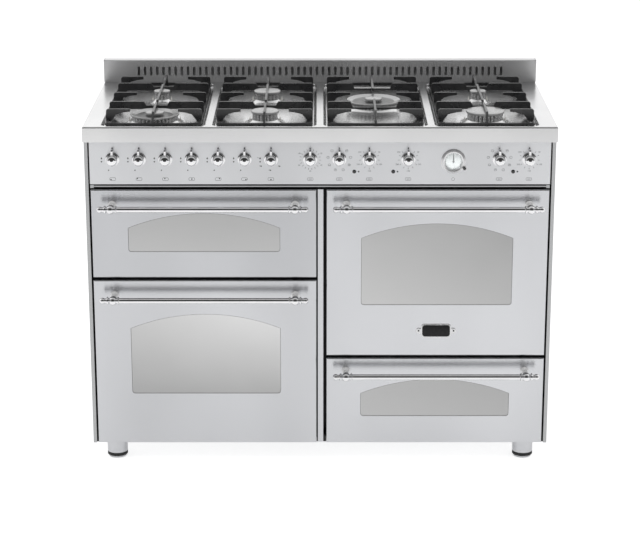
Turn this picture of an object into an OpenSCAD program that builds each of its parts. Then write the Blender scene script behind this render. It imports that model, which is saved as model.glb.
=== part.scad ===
// Range cooker, 1200 mm wide: two left ovens, one right oven over a drawer,
// seven gas burners under four cast pan supports.
// +Z is up and the front faces -Y. Widths run along X. Depths are written
// back from the front plane of the doors, and in_place() moves them to the
// frame whose origin is under the middle of the cooker on the floor.

/* [Body] */
// Width over the two side panels
body_w = 1194; // [1160:1:1260]
// Depth from the door fronts to the back panel
body_d = 560; // [552:1:620]
// Height of the underside above the floor
foot_h = 61; // [45:1:110]
// Height from the underside to the hob surface
carcase_h = 854; // [845:1:900]
// Thickness of the carcase sheets
sheet_t = 1.2; // [0.8:0.1:2]
// Width of the side panels' front edge
side_strip = 9; // [7:0.5:12]
// Gap between a side panel's edge and a door
side_gap = 4; // [3:0.5:6]
// Width of the strip between the door columns
post_w = 14; // [12:0.5:18]
// Place of that strip, right of the middle
post_x = 1.5; // [0:0.5:4]
// Gap left of that strip
post_gap_left = 3.5; // [3:0.5:5]
// Gap right of that strip
post_gap_right = 8; // [5:0.5:9]

/* [Hob] */
// How far the hob stands out past each side panel
hob_over = 3; // [2.5:0.5:6]
// How far the hob lip stands out past the doors
lip_out = 10; // [6:1:16]
// Height of the hob lip
lip_h = 40; // [34:1:46]
// How far the hob runs on behind the back panel
hob_rear = 30; // [28:1:40]
// Thickness of the hob sheet
hob_t = 1.5; // [1:0.1:2]
// Radius of the hob's upper edges
lip_r = 4; // [3:0.5:6]
// Width of each well
well_w = 259.5; // [256:0.5:262]
// Length of each well
well_len = 526; // [520:1:530]
// Depth of each well
well_depth = 10; // [9:0.5:12]
// Corner radius of each well
well_r = 14; // [10:1:20]
// Flat strip between two wells
well_gap = 22; // [19:0.5:24]
// Flat strip in front of the wells
well_front = 14; // [14:0.5:17]

/* [Upstand] */
// Height of the upstand above the hob
upstand_h = 61; // [56:1:90]
// Thickness of the upstand from front to back
upstand_d = 30; // [25:1:36]
// Number of vent slots
slot_count = 60; // [40:2:64]
// Distance from one vent slot to the next
slot_pitch = 17.05; // [16:0.05:18]
// Width of a vent slot
slot_w = 7.5; // [6:0.5:9]
// Height of a vent slot
slot_h = 25.5; // [20:0.5:28]
// Height of the slots' lower end above the hob
slot_up = 17.5; // [12:0.5:22]

/* [Pan supports] */
// Width of a pan support
grate_w = 244; // [240:1:248]
// Length of a pan support
grate_len = 515; // [510:1:517]
// Height of the bars' top above the hob
grate_h = 31; // [31:0.5:36]
// Thickness of the bars
bar_t = 5.5; // [4.5:0.5:6.5]
// Section of the frame rod
frame_rod = 7; // [6:0.5:8]
// Distance of the finger tips from the middle line
finger_tip = 61; // [56:1:66]
// Clearance under the finger tips, down from the bars' top
finger_t = 7; // [5:0.5:7]

/* [Burners] */
// Diameter of the small burner caps
cap_small = 43.5; // [40:0.5:46]
// Diameter of the middle burner caps
cap_medium = 71.5; // [66:0.5:76]
// Diameter of the large burner cap
cap_large = 98; // [90:1:104]
// Diameter of the front ring burner
ring_front_d = 125; // [115:1:126]
// Diameter of the wok ring burner
ring_wok_d = 141; // [132:1:146]
// Height of the plain burners' caps above the hob
cap_top = 22.5; // [21:0.5:23]
// Height of the ring burners' outer rings above the hob
ring_top = 15; // [13:0.5:16]
// Depth of the front burners' middle behind the doors
burner_front = 90; // [88:1:92]
// Depth of the rear burners' middle behind the doors
burner_rear = 340; // [335:1:342]

/* [Control panel] */
// Height of the control panel that shows under the lip
panel_h = 111; // [104:1:116]
// Gap between the control panel and the doors
rail_gap = 14; // [12:1:18]
// Thickness of the panel and door sheets
skin_t = 1.5; // [1:0.1:2]
// Height of the knobs' axis above the panel's lower edge
knob_up = 65; // [58:1:68]
// Distance of the first gas knob from the panel's left end
gas_knob_in = 58.8; // [56:0.1:70]
// Distance from one gas knob to the next
gas_pitch = 66.9; // [64:0.1:67.5]
// Diameter of a knob's bulb
knob_d = 28; // [24:1:30]
// How far a knob stands out
knob_len = 30; // [26:1:34]
// Diameter of the ring behind a knob
skirt_d = 36; // [34:1:40]
// Length of a knob's pointer from its axis
pointer_len = 24; // [20:1:26]
// Diameter of the knob spindles
spindle_d = 8; // [6:0.5:9]
// Place of the clock
clock_x = 337.8; // [330:0.1:345]
// Diameter of the clock's bezel
bezel_d = 63; // [60:1:68]
// Diameter of the indicator lamps
lamp_d = 10; // [8:0.5:12]

/* [Doors] */
// Thickness of a door
door_t = 40; // [38:1:44]
// Gap between two doors, one above the other
door_gap = 7; // [6:0.5:10]
// Height of the lower left door
low_door_h = 448; // [440:1:456]
// Height of the drawer front
drawer_h = 236; // [230:1:242]
// Width of the windows
window_w = 389; // [340:1:400]
// Rise of the windows' arched top
window_rise = 38.5; // [30:0.5:40]
// Thickness of the glass panes
glass_t = 4; // [3:0.5:5]
// How far a pane reaches past its window
glass_lap = 12; // [8:1:14]
// Width of the turned-in rear flange
flange_w = 12; // [10:1:16]

/* [Handles] */
// Length of a handle over its ends
handle_len = 535; // [500:1:545]
// Distance between a handle's two brackets
bracket_span = 466; // [440:1:470]
// Diameter of the rail
rail_d = 14.5; // [12:0.5:16]
// Distance of the rail's axis from the door
rail_out = 50; // [46:1:54]
// Distance of the rail's axis below the door's top
rail_drop = 40; // [36:1:46]
// Diameter of the ball on each bracket
collar_d = 23; // [20:0.5:24]

/* [Hinges] */
// Diameter of the hinge pins
hinge_pin_d = 8; // [6:0.5:8]
// Height of the hinge axis above the door's lower edge
hinge_up = 12; // [11:0.5:13]
// Depth of the hinge axis behind the door's front
hinge_in = 10; // [10:0.5:11]
// Distance of a hinge from the door's side
hinge_side = 60; // [50:1:90]
// Thickness of a hinge lug
lug_t = 6; // [5:0.5:7]

/* [Ovens] */
// Inner width of an oven
oven_w = 470; // [450:1:476]
// Inner depth of an oven behind the front frame
oven_d = 423; // [415:1:430]
// Distance of an oven's floor above its door's lower edge
oven_sill = 42; // [40:1:46]
// Distance of an oven's roof below its door's top
oven_head = 40; // [38:1:44]
// How far the pressed shelf ribs stand in
rib_in = 8; // [7:0.5:10]
// Diameter of a shelf's frame wire
shelf_rod_d = 6; // [5:0.5:6.5]
// Diameter of the heating elements
element_d = 6.5; // [6:0.5:8]
// Diameter of the convection fan
fan_d = 132; // [120:1:140]

/* [Drawer] */
// Distance of the drawer's bay from the sides of the drawer front
bay_in = 12.75; // [10:0.25:20]
// Room for a runner on each side of the drawer's box
runner_room = 15; // [13:0.5:20]
// Length of the drawer's box
box_len = 430; // [400:1:440]
// Height of the drawer's box
box_h = 140; // [110:1:160]

/* [Feet] */
// Diameter of a foot's sleeve
sleeve_d = 54; // [48:1:60]
// Diameter of a foot's sole
sole_d = 46; // [40:1:50]
// Distance of the feet from the body's side
foot_side = 56; // [45:1:70]
// Distance of the front feet behind the doors
foot_front = 68; // [62:1:110]
// Distance of the rear feet from the back
foot_back = 60; // [45:1:80]

/* [Hidden] */
$fn = 48;
// Clearances: between curved parts that only pass, and in a running fit
gap = 0.3;
fit = 0.05;
eps = 0.5;

// Heights
base_z = foot_h;
hob_z = base_z + carcase_h;
panel_top = hob_z - lip_h;
panel_low = panel_top - panel_h;
doors_top = panel_low - rail_gap;
knob_z = panel_low + knob_up;
floor_z = hob_z - well_depth;
lip_inner_r = 1;

// Widths and depths
collar_ring = 3;
half_w = body_w / 2;
hob_half = half_w + hob_over;
door_out = half_w - side_strip - side_gap;
post_l = post_x - post_w / 2;
post_r = post_x + post_w / 2;
left_x = [-door_out, post_l - post_gap_left];
right_x = [post_r + post_gap_right, door_out];
left_mid = (left_x[0] + left_x[1]) / 2;
right_mid = (right_x[0] + right_x[1]) / 2;
rear_u = body_d + hob_rear;
front_u = -rail_out - max(collar_d / 2, rail_d / 2 + collar_ring);
middle_u = (front_u + rear_u) / 2;

// Front frame: its sheet stands behind the doors and their seals
seal_t = 5;
frame_u = door_t + seal_t;
frame_t = 1.5;
liner_u = frame_u + frame_t;
oven_back = liner_u + oven_d;

// Doors: left and right edge, bottom, top, sill of the window above the bottom,
// straight height of the window, drop of the handle
low_top = base_z + low_door_h;
drawer_top = base_z + drawer_h;
window_side_h = 180;
window_low_h = 64;
window_sill = 138;
window_low_sill = 69;
drawer_sill = 75;
drawer_drop = rail_drop - 5;
DOOR_TL = [left_x[0], left_x[1], low_top + door_gap, doors_top, window_low_sill, window_low_h, rail_drop];
DOOR_BL = [left_x[0], left_x[1], base_z, low_top, window_sill, window_side_h, rail_drop];
DOOR_R = [right_x[0], right_x[1], drawer_top + door_gap, doors_top, window_sill, window_side_h, rail_drop];
DRAWER = [right_x[0], right_x[1], base_z, drawer_top, drawer_sill, window_low_h, drawer_drop];
OVEN_DOORS = [DOOR_TL, DOOR_BL, DOOR_R];
door_r = 3;
pan_in = 0.3;
inner_panel_t = 1;
hinge_flange = 26;
lug_arm = 7;
eye_wall = 3.5;
slot_side = 1;
pin_r = hinge_pin_d / 2;

// Oven cavities: middle, floor, roof
function oven_floor(d) = d[2] + oven_sill;
function oven_roof(d) = d[3] - oven_head;
function door_mid(d) = (d[0] + d[1]) / 2;
liner_flange = 12;
rib_h = 6;
shelf_side = 2;
shelf_front_u = 80;
shelf_rear_u = 430;
shelf_r = shelf_rod_d / 2;
shelf_wire_r = 1.5;
shelf_wires = 17;
shelf_top_up = 46;
shelf_low_up = 150;
element_r = element_d / 2;
element_drop = 24;
element_pitch = 76;
element_front_u = 95;
element_tail = 18;
ring_r = 88;
lead_x = 20;
lead_r = element_r + 1;
lead_z = sqrt(ring_r * ring_r - lead_x * lead_x);

// Fan chamber in the right oven
cover_half = 150;
cover_d = 34;
fan_z = (oven_floor(DOOR_R) + oven_roof(DOOR_R)) / 2 + 20;
fan_u = oven_back - 22;
fan_w = 14;
shaft_r = 4;
motor_r = 32;
motor_len = 38;
motor_plate = 2;

// Drawer
bay_low = base_z + 14;
bay_top = drawer_top - 12;
bay_half = (right_x[1] - right_x[0]) / 2 - bay_in;
box_w = 2 * (bay_half - runner_room);
box_z = base_z + 24;
runner_z = box_z + 40;
runner_h = 30;
runner_t = 1.5;
runner_w = 11;
runner_gap = 0.5;
bay_rear = liner_u + box_len;

// Wells and pan supports
well_pitch = well_w + well_gap;
well_y = well_front - lip_out;
function well_x(i) = (i - 1.5) * well_pitch;
grate_u = well_y + (well_len - grate_len) / 2 + 0.5;
grate_half = grate_w / 2;
CROSS_U = [62, 152.6, 268, 389, 475.6];
wok_u = 255;
dip_half = 27;
dip = 10;
WOK_DIP_HALF = [56, 48];
wok_dip = 15;
leg_w = 10;
rod_low = -2;
bar_under = 11.4;

// Burners: well, depth, kind; kinds: 0 small, 1 medium, 2 large, 3 front ring, 4 wok ring
BURNERS = [
    [0, burner_front - 5, 3],
    [0, burner_rear, 0],
    [1, burner_front, 1],
    [1, burner_rear, 1],
    [2, wok_u, 4],
    [3, burner_front, 2],
    [3, burner_rear, 0]
];
CAP_R = [cap_small / 2, cap_medium / 2, cap_large / 2, 23.5, 22.5];
RING_R = [0, 0, 0, ring_front_d / 2, ring_wok_d / 2];
ring_hole = 33;
ring_inner_top = ring_top + 5;
cup_t = 2;
cup_rim = 5;
cup_drop = 12;
cap_h = 7;
ring_cap_h = 5;
skirt_h = 4.5;
FLUTES = [12, 20, 26, 34, 38];
flute_share = 0.38;
spark_r = 1.8;
function is_ring(b) = RING_R[b[2]] > 0;
function head_r(b) = is_ring(b) ? RING_R[b[2]] : CAP_R[b[2]];
function cup_r(b) = head_r(b) - 6;
function burner_x(b) = well_x(b[0]);

// Control panel
gas_knob_x = gas_knob_in - door_out;
ELECTRIC_X = [-24.7, 48.9, 124.9, 223.5, door_out - 129.6, door_out - 54.2];
LAMP_X = [86.9, 185.6, door_out - 94.6];
GAS_X = [for (i = [0:6]) gas_knob_x + i * gas_pitch];
KNOB_X = concat(GAS_X, ELECTRIC_X);
KNOB_NAMES = [
    "knob_gas_1",
    "knob_gas_2",
    "knob_gas_3",
    "knob_gas_4",
    "knob_gas_5",
    "knob_gas_6",
    "knob_gas_7",
    "knob_timer",
    "knob_selector_left",
    "knob_thermostat_top_left",
    "knob_thermostat_left",
    "knob_selector_right",
    "knob_thermostat_right"
];
panel_rise = 15;
panel_r = 2;
spindle_r = spindle_d / 2;
spindle_end = 34;
neck_r = 9;
unit_u = 16;
unit_len = 30;
unit_half = 21;
tap_r = 13;
tap_len = 30;
gas_rail_u = 62;
gas_rail_r = 10;
gas_rail_end = 45;
pipe_r = 3;
elbow_r = 4.2;
pipe_first = knob_z + tap_r + 8;
pipe_step = (floor_z - cup_drop - elbow_r - 0.4 - pipe_first) / 6;
pipe_side = 12;
inlet_r = 10.48;
inlet_shoulder_r = 13;
inlet_pipe_r = 8;
inlet_out = 18;
inlet_x = gas_knob_x - 40;
lamp_z = panel_low + 33;

// Clock
clock_z = panel_low + 60;
bezel_r = bezel_d / 2;
dial_r = bezel_r - 8;
clock_glass_t = 1.2;
clock_lip = 0.8;
clock_depth = 24;
set_x = 28.1;
set_z = -17.4;
set_r = 4;
set_boss_r = 6;
arbor_r = 1.2;
hand_hub_r = 2.6;
hand_t = 0.6;

// Base, back and rear mounts
base_t = 1.5;
base_rim = 13;
foot_bush = 6;
bush_r = 15;
stem_r = 6;
cable_x = 430;
cable_z = base_z + 90;
cable_r = 10;
cable_wall = 4;
cable_len = 14;

// Moves depths behind the doors to the frame's own Y
module in_place() {
    translate([0, -middle_u, 0])
        children();
}

// Block between two corners
module block(low, high) {
    translate(low)
        cube(high - low);
}

// Round bar between two points
module bar(a, b, r) {
    d = b - a;
    translate(a)
        rotate([0, acos(d[2] / norm(d)), atan2(d[1], d[0])])
            cylinder(r = r, h = norm(d));
}

// Cylinder along the depth, from depth a to depth b
module rod_u(x, z, r, a, b) {
    translate([x, a, z])
        rotate([-90, 0, 0])
            cylinder(r = r, h = b - a);
}

// Extrudes a drawing of width and height along the depth
module along_u(a, b) {
    translate([0, b, 0])
        rotate([90, 0, 0])
            linear_extrude(b - a)
                children();
}

// Extrudes a drawing of depth and height along the width
module along_x(a, b) {
    translate([a, 0, 0])
        rotate([90, 0, 90])
            linear_extrude(b - a)
                children();
}

// Rectangle with round corners, about the middle
module round_rect(w, h, r) {
    square([w - 2 * r, h], center = true);
    square([w, h - 2 * r], center = true);
    for (x = [-1, 1])
        for (y = [-1, 1])
            translate([x * (w / 2 - r), y * (h / 2 - r)])
                circle(r);
}

// Rectangle from a to b with two round corners at its upper end
module crown(a, b, low, high, r) {
    translate([a, low])
        square([b - a, high - low - r]);
    translate([a + r, low])
        square([b - a - 2 * r, high - low]);
    for (x = [a + r, b - r])
        translate([x, high - r])
            circle(r);
}

// Window outline: flat sill with small corner radii, arched top
module arch(w, side_h, rise, r) {
    radius = (w * w / 4 + rise * rise) / (2 * rise);
    translate([-w / 2, r])
        square([w, side_h - r]);
    translate([-w / 2 + r, 0])
        square([w - 2 * r, side_h]);
    for (x = [-1, 1])
        translate([x * (w / 2 - r), r])
            circle(r);
    intersection() {
        translate([0, side_h + rise - radius])
            circle(radius, $fn = 180);
        translate([-w / 2, side_h - 0.01])
            square([w, rise + 1]);
    }
}

// Points of an arc
function arc(c, r, from, to, n) = [for (i = [0:n]) c + r * [cos(from + (to - from) * i / n), sin(from + (to - from) * i / n)]];

// Folded side panel; side is -1 for the left and 1 for the right
module side_panel(side) {
    t = sheet_t;
    hem = 12;
    rear_flange = 18;
    top_flange = 20;
    x_in = half_w - side_strip;
    mirror([side < 0 ? 1 : 0, 0, 0]) {
        translate([0, 0, base_z])
            linear_extrude(carcase_h - hob_t)
                polygon([
                    [half_w, 0],
                    [half_w, body_d],
                    [half_w - rear_flange, body_d],
                    [half_w - rear_flange, body_d - t],
                    [half_w - t, body_d - t],
                    [half_w - t, t],
                    [x_in + t, t],
                    [x_in + t, hem],
                    [x_in, hem],
                    [x_in, 0]
                ]);
        block([half_w - top_flange, frame_u, hob_z - hob_t - t], [half_w - t, body_d - t, hob_z - hob_t]);
    }
}

module side_panel_left() {
    color([0.78, 0.78, 0.79])
        in_place()
            side_panel(-1);
}

module side_panel_right() {
    color([0.78, 0.78, 0.79])
        in_place()
            side_panel(1);
}

// Floor tray with raised rims, air slots and four foot bosses
function foot_places() = [for (x = [-1, 1]) for (u = [foot_front, body_d - foot_back]) [x * (half_w - foot_side), u]];

module base_frame() {
    in_x = half_w - sheet_t;
    rim_front = frame_u + frame_t;
    air_w = 60;
    air_pitch = 90;
    color([0.7, 0.71, 0.72])
        in_place()
            difference() {
                union() {
                    block([-in_x, frame_u, base_z], [in_x, body_d - sheet_t, base_z + base_t]);
                    block([-in_x, body_d - 2 * sheet_t, base_z], [in_x, body_d - sheet_t, base_z + base_rim]);
                    block([-in_x, rim_front, base_z], [in_x, rim_front + base_t, base_z + base_rim]);
                    for (x = [-in_x, in_x - base_t])
                        block([x, rim_front, base_z], [x + base_t, body_d - sheet_t, base_z + base_rim]);
                    for (p = foot_places())
                        translate([p[0], p[1], base_z])
                            cylinder(r = bush_r, h = foot_bush);
                }
                for (p = foot_places())
                    translate([p[0], p[1], base_z - eps])
                        cylinder(r = stem_r + gap, h = foot_bush + 2 * eps);
                for (x = [-4:4])
                    for (u = [180, 260, 340])
                        translate([x * air_pitch, u, base_z - eps])
                            linear_extrude(base_t + 2 * eps)
                                round_rect(air_w, 8, 3.9);
            }
}

// Back sheet with rows of air slots, the gas pipe's hole and a cable bush
module back_panel() {
    air_x = 22;
    color([0.72, 0.73, 0.74])
        in_place() {
            difference() {
                block([-half_w, body_d, base_z], [half_w, body_d + sheet_t, hob_z - hob_t]);
                for (side = [-1, 1])
                    for (i = [-5:5])
                        for (z = [panel_low - 40, panel_low + 20])
                            along_u(body_d - eps, body_d + sheet_t + eps)
                                translate([side * 296 + i * air_x, z])
                                    round_rect(9, 44, 4.4);
                rod_u(inlet_x, knob_z, inlet_shoulder_r + gap, body_d - eps, body_d + sheet_t + eps);
                rod_u(cable_x, cable_z, cable_r + cable_wall, body_d - eps, body_d + sheet_t + eps);
            }
            difference() {
                union() {
                    rod_u(cable_x, cable_z, cable_r + cable_wall, body_d - 3, body_d - 3 + cable_len);
                    rod_u(cable_x, cable_z, cable_r + cable_wall + 4, body_d - 3, body_d);
                    rod_u(cable_x, cable_z, cable_r + cable_wall + 4, body_d + sheet_t, body_d + sheet_t + 3);
                }
                rod_u(cable_x, cable_z, cable_r, body_d - 4, body_d + cable_len);
            }
        }
}

// Front frame: sheet with the oven and drawer openings, centre strip, centre
// partition, light rail under the control panel and the doors' hinge lugs
module lug(x, d) {
    z = d[2] + hinge_up;
    eye = pin_r + fit + eye_wall;
    difference() {
        union() {
            translate([x - lug_t / 2, hinge_in, z])
                rotate([0, 90, 0])
                    cylinder(r = eye, h = lug_t);
            block([x - lug_t / 2, hinge_in, z - lug_arm], [x + lug_t / 2, frame_u + eps, z + lug_arm]);
        }
        translate([x - lug_t, hinge_in, z])
            rotate([0, 90, 0])
                cylinder(r = pin_r + fit, h = 2 * lug_t);
    }
}

function hinge_places(d) = [d[0] + hinge_side, d[1] - hinge_side];

module front_frame() {
    in_x = half_w - sheet_t;
    post_u = 2;
    rail_z = panel_low - rail_gap / 2;
    rail_u = 6;
    end_block = 9;
    color([0.8, 0.8, 0.81])
        in_place() {
            difference() {
                block([-in_x, frame_u, base_z + base_t], [in_x, liner_u, panel_low + 6]);
                for (d = OVEN_DOORS)
                    block(
                        [door_mid(d) - oven_w / 2, frame_u - eps, oven_floor(d)],
                        [door_mid(d) + oven_w / 2, liner_u + eps, oven_roof(d)]
                    );
                block(
                    [right_mid - bay_half, frame_u - eps, bay_low],
                    [right_mid + bay_half, liner_u + eps, bay_top]
                );
            }
            difference() {
                block([post_l, post_u, base_z + base_t], [post_r, frame_u + eps, doors_top]);
                block(
                    [post_l + sheet_t, post_u + sheet_t, base_z - eps],
                    [post_r - sheet_t, frame_u + 2 * eps, doors_top - sheet_t]
                );
            }
            block([post_x - sheet_t / 2, liner_u - eps, base_z + base_rim], [post_x + sheet_t / 2, body_d, doors_top]);
            block([-door_out, rail_u, rail_z - 1.5], [door_out, frame_u + eps, rail_z + 1.5]);
            for (x = [-door_out, door_out - end_block])
                block([x, rail_u - 2, rail_z - 4], [x + end_block, frame_u + eps, rail_z + 4]);
            for (d = OVEN_DOORS)
                for (x = hinge_places(d))
                    lug(x, d);
        }
}

// Hob: pressed sheet with a turned-down lip, four wells and the burner holes
module rounded_lid(half, from_u, to_u, low, high, r) {
    intersection() {
        along_x(-half, half)
            crown(from_u, to_u, low, high, r);
        along_u(from_u, to_u)
            crown(-half, half, low, high, r);
        translate([0, (from_u + to_u) / 2, low])
            linear_extrude(high - low)
                round_rect(2 * half, to_u - from_u, r);
    }
}

module hob_top() {
    color([0.86, 0.86, 0.87])
        in_place()
            difference() {
                union() {
                    difference() {
                        rounded_lid(hob_half, -lip_out, rear_u, panel_top, hob_z, lip_r);
                        rounded_lid(
                            hob_half - hob_t,
                            -lip_out + hob_t,
                            rear_u - hob_t,
                            panel_top - eps,
                            hob_z - hob_t,
                            lip_inner_r
                        );
                    }
                    for (i = [0:3])
                        translate([well_x(i), well_y + well_len / 2, floor_z - hob_t])
                            linear_extrude(well_depth)
                                round_rect(well_w + 2 * hob_t, well_len + 2 * hob_t, well_r + hob_t);
                }
                for (i = [0:3])
                    translate([well_x(i), well_y + well_len / 2, floor_z])
                        linear_extrude(well_depth + eps)
                            round_rect(well_w, well_len, well_r);
                for (b = BURNERS)
                    translate([burner_x(b), b[1], floor_z - 2 * hob_t])
                        cylinder(r = cup_r(b) + gap, h = 3 * hob_t);
            }
}

// Upstand: folded hood with a row of upright slots and two end caps
module upstand() {
    t = sheet_t;
    cap_t = 3;
    u = body_d;
    color([0.74, 0.74, 0.75])
        in_place() {
            difference() {
                along_x(-hob_half + cap_t, hob_half - cap_t)
                    difference() {
                        crown(u, u + upstand_d, hob_z, hob_z + upstand_h, 3);
                        crown(u + t, u + upstand_d - t, hob_z - eps, hob_z + upstand_h - t, 2);
                    }
                along_u(u - eps, u + upstand_d / 2)
                    for (i = [0:slot_count - 1])
                        translate([(i - (slot_count - 1) / 2) * slot_pitch, hob_z + slot_up + slot_h / 2]) {
                            square([slot_w, slot_h - slot_w], center = true);
                            for (s = [-1, 1])
                                translate([0, s * (slot_h - slot_w) / 2])
                                    circle(slot_w / 2, $fn = 24);
                        }
            }
            for (s = [-1, 1])
                along_x(s < 0 ? -hob_half : hob_half - cap_t, s < 0 ? -hob_half + cap_t : hob_half)
                    crown(u - 1, u + upstand_d, hob_z, hob_z + upstand_h + 1, 4);
        }
}

// Control panel: folded front with the spindle, clock and lamp holes
module control_panel() {
    t = skin_t;
    side_flange = 14;
    top_z = panel_top + panel_rise;
    color([0.8, 0.8, 0.82])
        in_place()
            difference() {
                union() {
                    block([-door_out, 0, panel_low], [door_out, t, top_z]);
                    block([-door_out, 0, panel_low], [door_out, frame_u, panel_low + t]);
                    block([-door_out, 0, top_z - t], [door_out, side_flange, top_z]);
                    for (x = [-door_out, door_out - t])
                        block([x, 0, panel_low], [x + t, side_flange, top_z]);
                }
                for (x = KNOB_X)
                    rod_u(x, knob_z, spindle_r + 1, -eps, t + eps);
                rod_u(clock_x, clock_z, dial_r + 2 + gap, -eps, t + eps);
                rod_u(clock_x + set_x, clock_z + set_z, arbor_r + gap, -eps, t + eps);
                for (x = LAMP_X)
                    rod_u(x, lamp_z, lamp_d / 2 - 1 + gap, -eps, t + eps);
            }
}

// Enamelled oven liner: box with a front flange and pressed shelf ribs
module shelf_rib(x_wall, inward, z) {
    along_u(liner_u + 12, shelf_rear_u + 20)
        polygon([
            [x_wall, z - rib_h],
            [x_wall + inward * rib_in, z - rib_h + 1.5],
            [x_wall + inward * rib_in, z],
            [x_wall, z]
        ]);
}

module liner_box(d, levels) {
    x = door_mid(d);
    low = oven_floor(d);
    high = oven_roof(d);
    t = sheet_t;
    difference() {
        union() {
            block([x - oven_w / 2 - t, liner_u, low - t], [x + oven_w / 2 + t, oven_back + t, high + t]);
            block(
                [x - oven_w / 2 - liner_flange, liner_u, low - liner_flange],
                [x + oven_w / 2 + liner_flange, liner_u + t, high + liner_flange]
            );
        }
        block([x - oven_w / 2, liner_u - eps, low], [x + oven_w / 2, oven_back, high]);
    }
    for (level = levels)
        for (s = [-1, 1]) {
            shelf_rib(x + s * (oven_w / 2 + t / 2), -s, low + level - shelf_r - gap);
            shelf_rib(x + s * (oven_w / 2 + t / 2), -s, low + level + shelf_r + 2 + rib_h);
        }
}

// Places where the hairpin elements' ends pass the rear wall
function tails(d) = [for (s = [-1.5:1.5]) door_mid(d) + s * element_pitch];

module tail_holes(d, z) {
    for (x = tails(d))
        rod_u(x, z, element_r + gap, oven_back - eps, oven_back + sheet_t + eps);
}

module oven_liner_top_left() {
    color([0.2, 0.21, 0.23])
        in_place()
            difference() {
                liner_box(DOOR_TL, [shelf_top_up]);
                tail_holes(DOOR_TL, oven_roof(DOOR_TL) - element_drop);
            }
}

module oven_liner_bottom_left() {
    color([0.2, 0.21, 0.23])
        in_place()
            difference() {
                liner_box(DOOR_BL, [80, shelf_low_up, 220]);
                tail_holes(DOOR_BL, oven_roof(DOOR_BL) - element_drop);
                tail_holes(DOOR_BL, oven_floor(DOOR_BL) + element_drop);
            }
}

// Right liner, with the perforated cover in front of the fan
module fan_cover() {
    x = right_mid;
    t = sheet_t;
    front = oven_back - cover_d;
    hole_r = 4.5;
    difference() {
        block([x - cover_half, front, fan_z - cover_half], [x + cover_half, oven_back + t / 2, fan_z + cover_half]);
        block(
            [x - cover_half + t, front + t, fan_z - cover_half + t],
            [x + cover_half - t, oven_back + t, fan_z + cover_half - t]
        );
        rod_u(x, fan_z, hole_r, front - eps, front + t + eps);
        for (ring = [1:4])
            for (i = [0:6 * ring - 1])
                rod_u(
                    x + 14 * ring * cos(i * 60 / ring),
                    fan_z + 14 * ring * sin(i * 60 / ring),
                    hole_r,
                    front - eps,
                    front + t + eps
                );
        for (s = [-1, 1])
            for (i = [-3:3])
                block(
                    [x + s * cover_half - 2 * t, front + 8, fan_z + i * 36 - 12],
                    [x + s * cover_half + 2 * t, front + 20, fan_z + i * 36 + 12]
                );
    }
}

module oven_liner_right() {
    color([0.2, 0.21, 0.23])
        in_place()
            difference() {
                union() {
                    liner_box(DOOR_R, [80, shelf_low_up, 220]);
                    fan_cover();
                }
                rod_u(right_mid, fan_z, shaft_r + 2, oven_back - eps, oven_back + 2 * sheet_t);
                for (s = [-1, 1])
                    rod_u(right_mid + s * lead_x, fan_z - lead_z, lead_r + gap, oven_back - 1, oven_back + 2 * sheet_t);
            }
}

// Two hairpin elements, their ends through flanges on the rear wall
module hairpins(d, z) {
    for (x = tails(d)) {
        rod_u(x, z, element_r, element_front_u, oven_back + element_tail);
        rod_u(x, z, element_r + 6, oven_back + sheet_t, oven_back + sheet_t + 2);
    }
    for (s = [-1, 1])
        translate([door_mid(d) + s * element_pitch, element_front_u, z])
            rotate([0, 0, 180])
                rotate_extrude(angle = 180)
                    translate([element_pitch / 2, 0])
                        circle(element_r);
}

module heating_elements() {
    color([0.35, 0.34, 0.34])
        in_place() {
            hairpins(DOOR_TL, oven_roof(DOOR_TL) - element_drop);
            hairpins(DOOR_BL, oven_roof(DOOR_BL) - element_drop);
            hairpins(DOOR_BL, oven_floor(DOOR_BL) + element_drop);
            translate([right_mid, fan_u + fan_w / 2, fan_z])
                rotate([90, 0, 0])
                    rotate_extrude()
                        translate([ring_r, 0])
                            circle(element_r);
            for (s = [-1, 1]) {
                rod_u(right_mid + s * lead_x, fan_z - lead_z, lead_r, fan_u + fan_w / 2, oven_back + element_tail);
                rod_u(right_mid + s * lead_x, fan_z - lead_z, element_r + 6, oven_back + sheet_t, oven_back + sheet_t + 2);
            }
        }
}

// Door seals: woven tube round each oven opening
module door_seals() {
    w = 9;
    out = 3;
    color([0.25, 0.25, 0.26])
        in_place()
            for (d = OVEN_DOORS) {
                h = oven_roof(d) - oven_floor(d);
                along_u(door_t + gap, frame_u)
                    translate([door_mid(d), (oven_roof(d) + oven_floor(d)) / 2])
                        difference() {
                            round_rect(oven_w + 2 * (out + w), h + 2 * (out + w), 20);
                            round_rect(oven_w + 2 * out, h + 2 * out, 12);
                        }
            }
}

// Drawer runners: channels held by brackets from the partition and the side
module drawer_runners() {
    t = runner_t;
    web = bay_half;
    low = runner_z - runner_h / 2;
    high = runner_z + runner_h / 2;
    color([0.66, 0.67, 0.68])
        in_place()
            for (s = [-1, 1]) {
                wall = s < 0 ? post_x + sheet_t / 2 : half_w - sheet_t;
                translate([right_mid, 0, 0])
                    mirror([s < 0 ? 1 : 0, 0, 0]) {
                        block([web - t, liner_u, low], [web, bay_rear, high]);
                        block([web - runner_w, liner_u, low], [web, bay_rear, low + t]);
                        block([web - runner_w, liner_u, high - t], [web, bay_rear, high]);
                    }
                for (u = [liner_u + 30, bay_rear - 60])
                    block(
                        [min(right_mid + s * web, wall), u, low + 4],
                        [max(right_mid + s * web, wall), u + 20, high - 4]
                    );
            }
}

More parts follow.
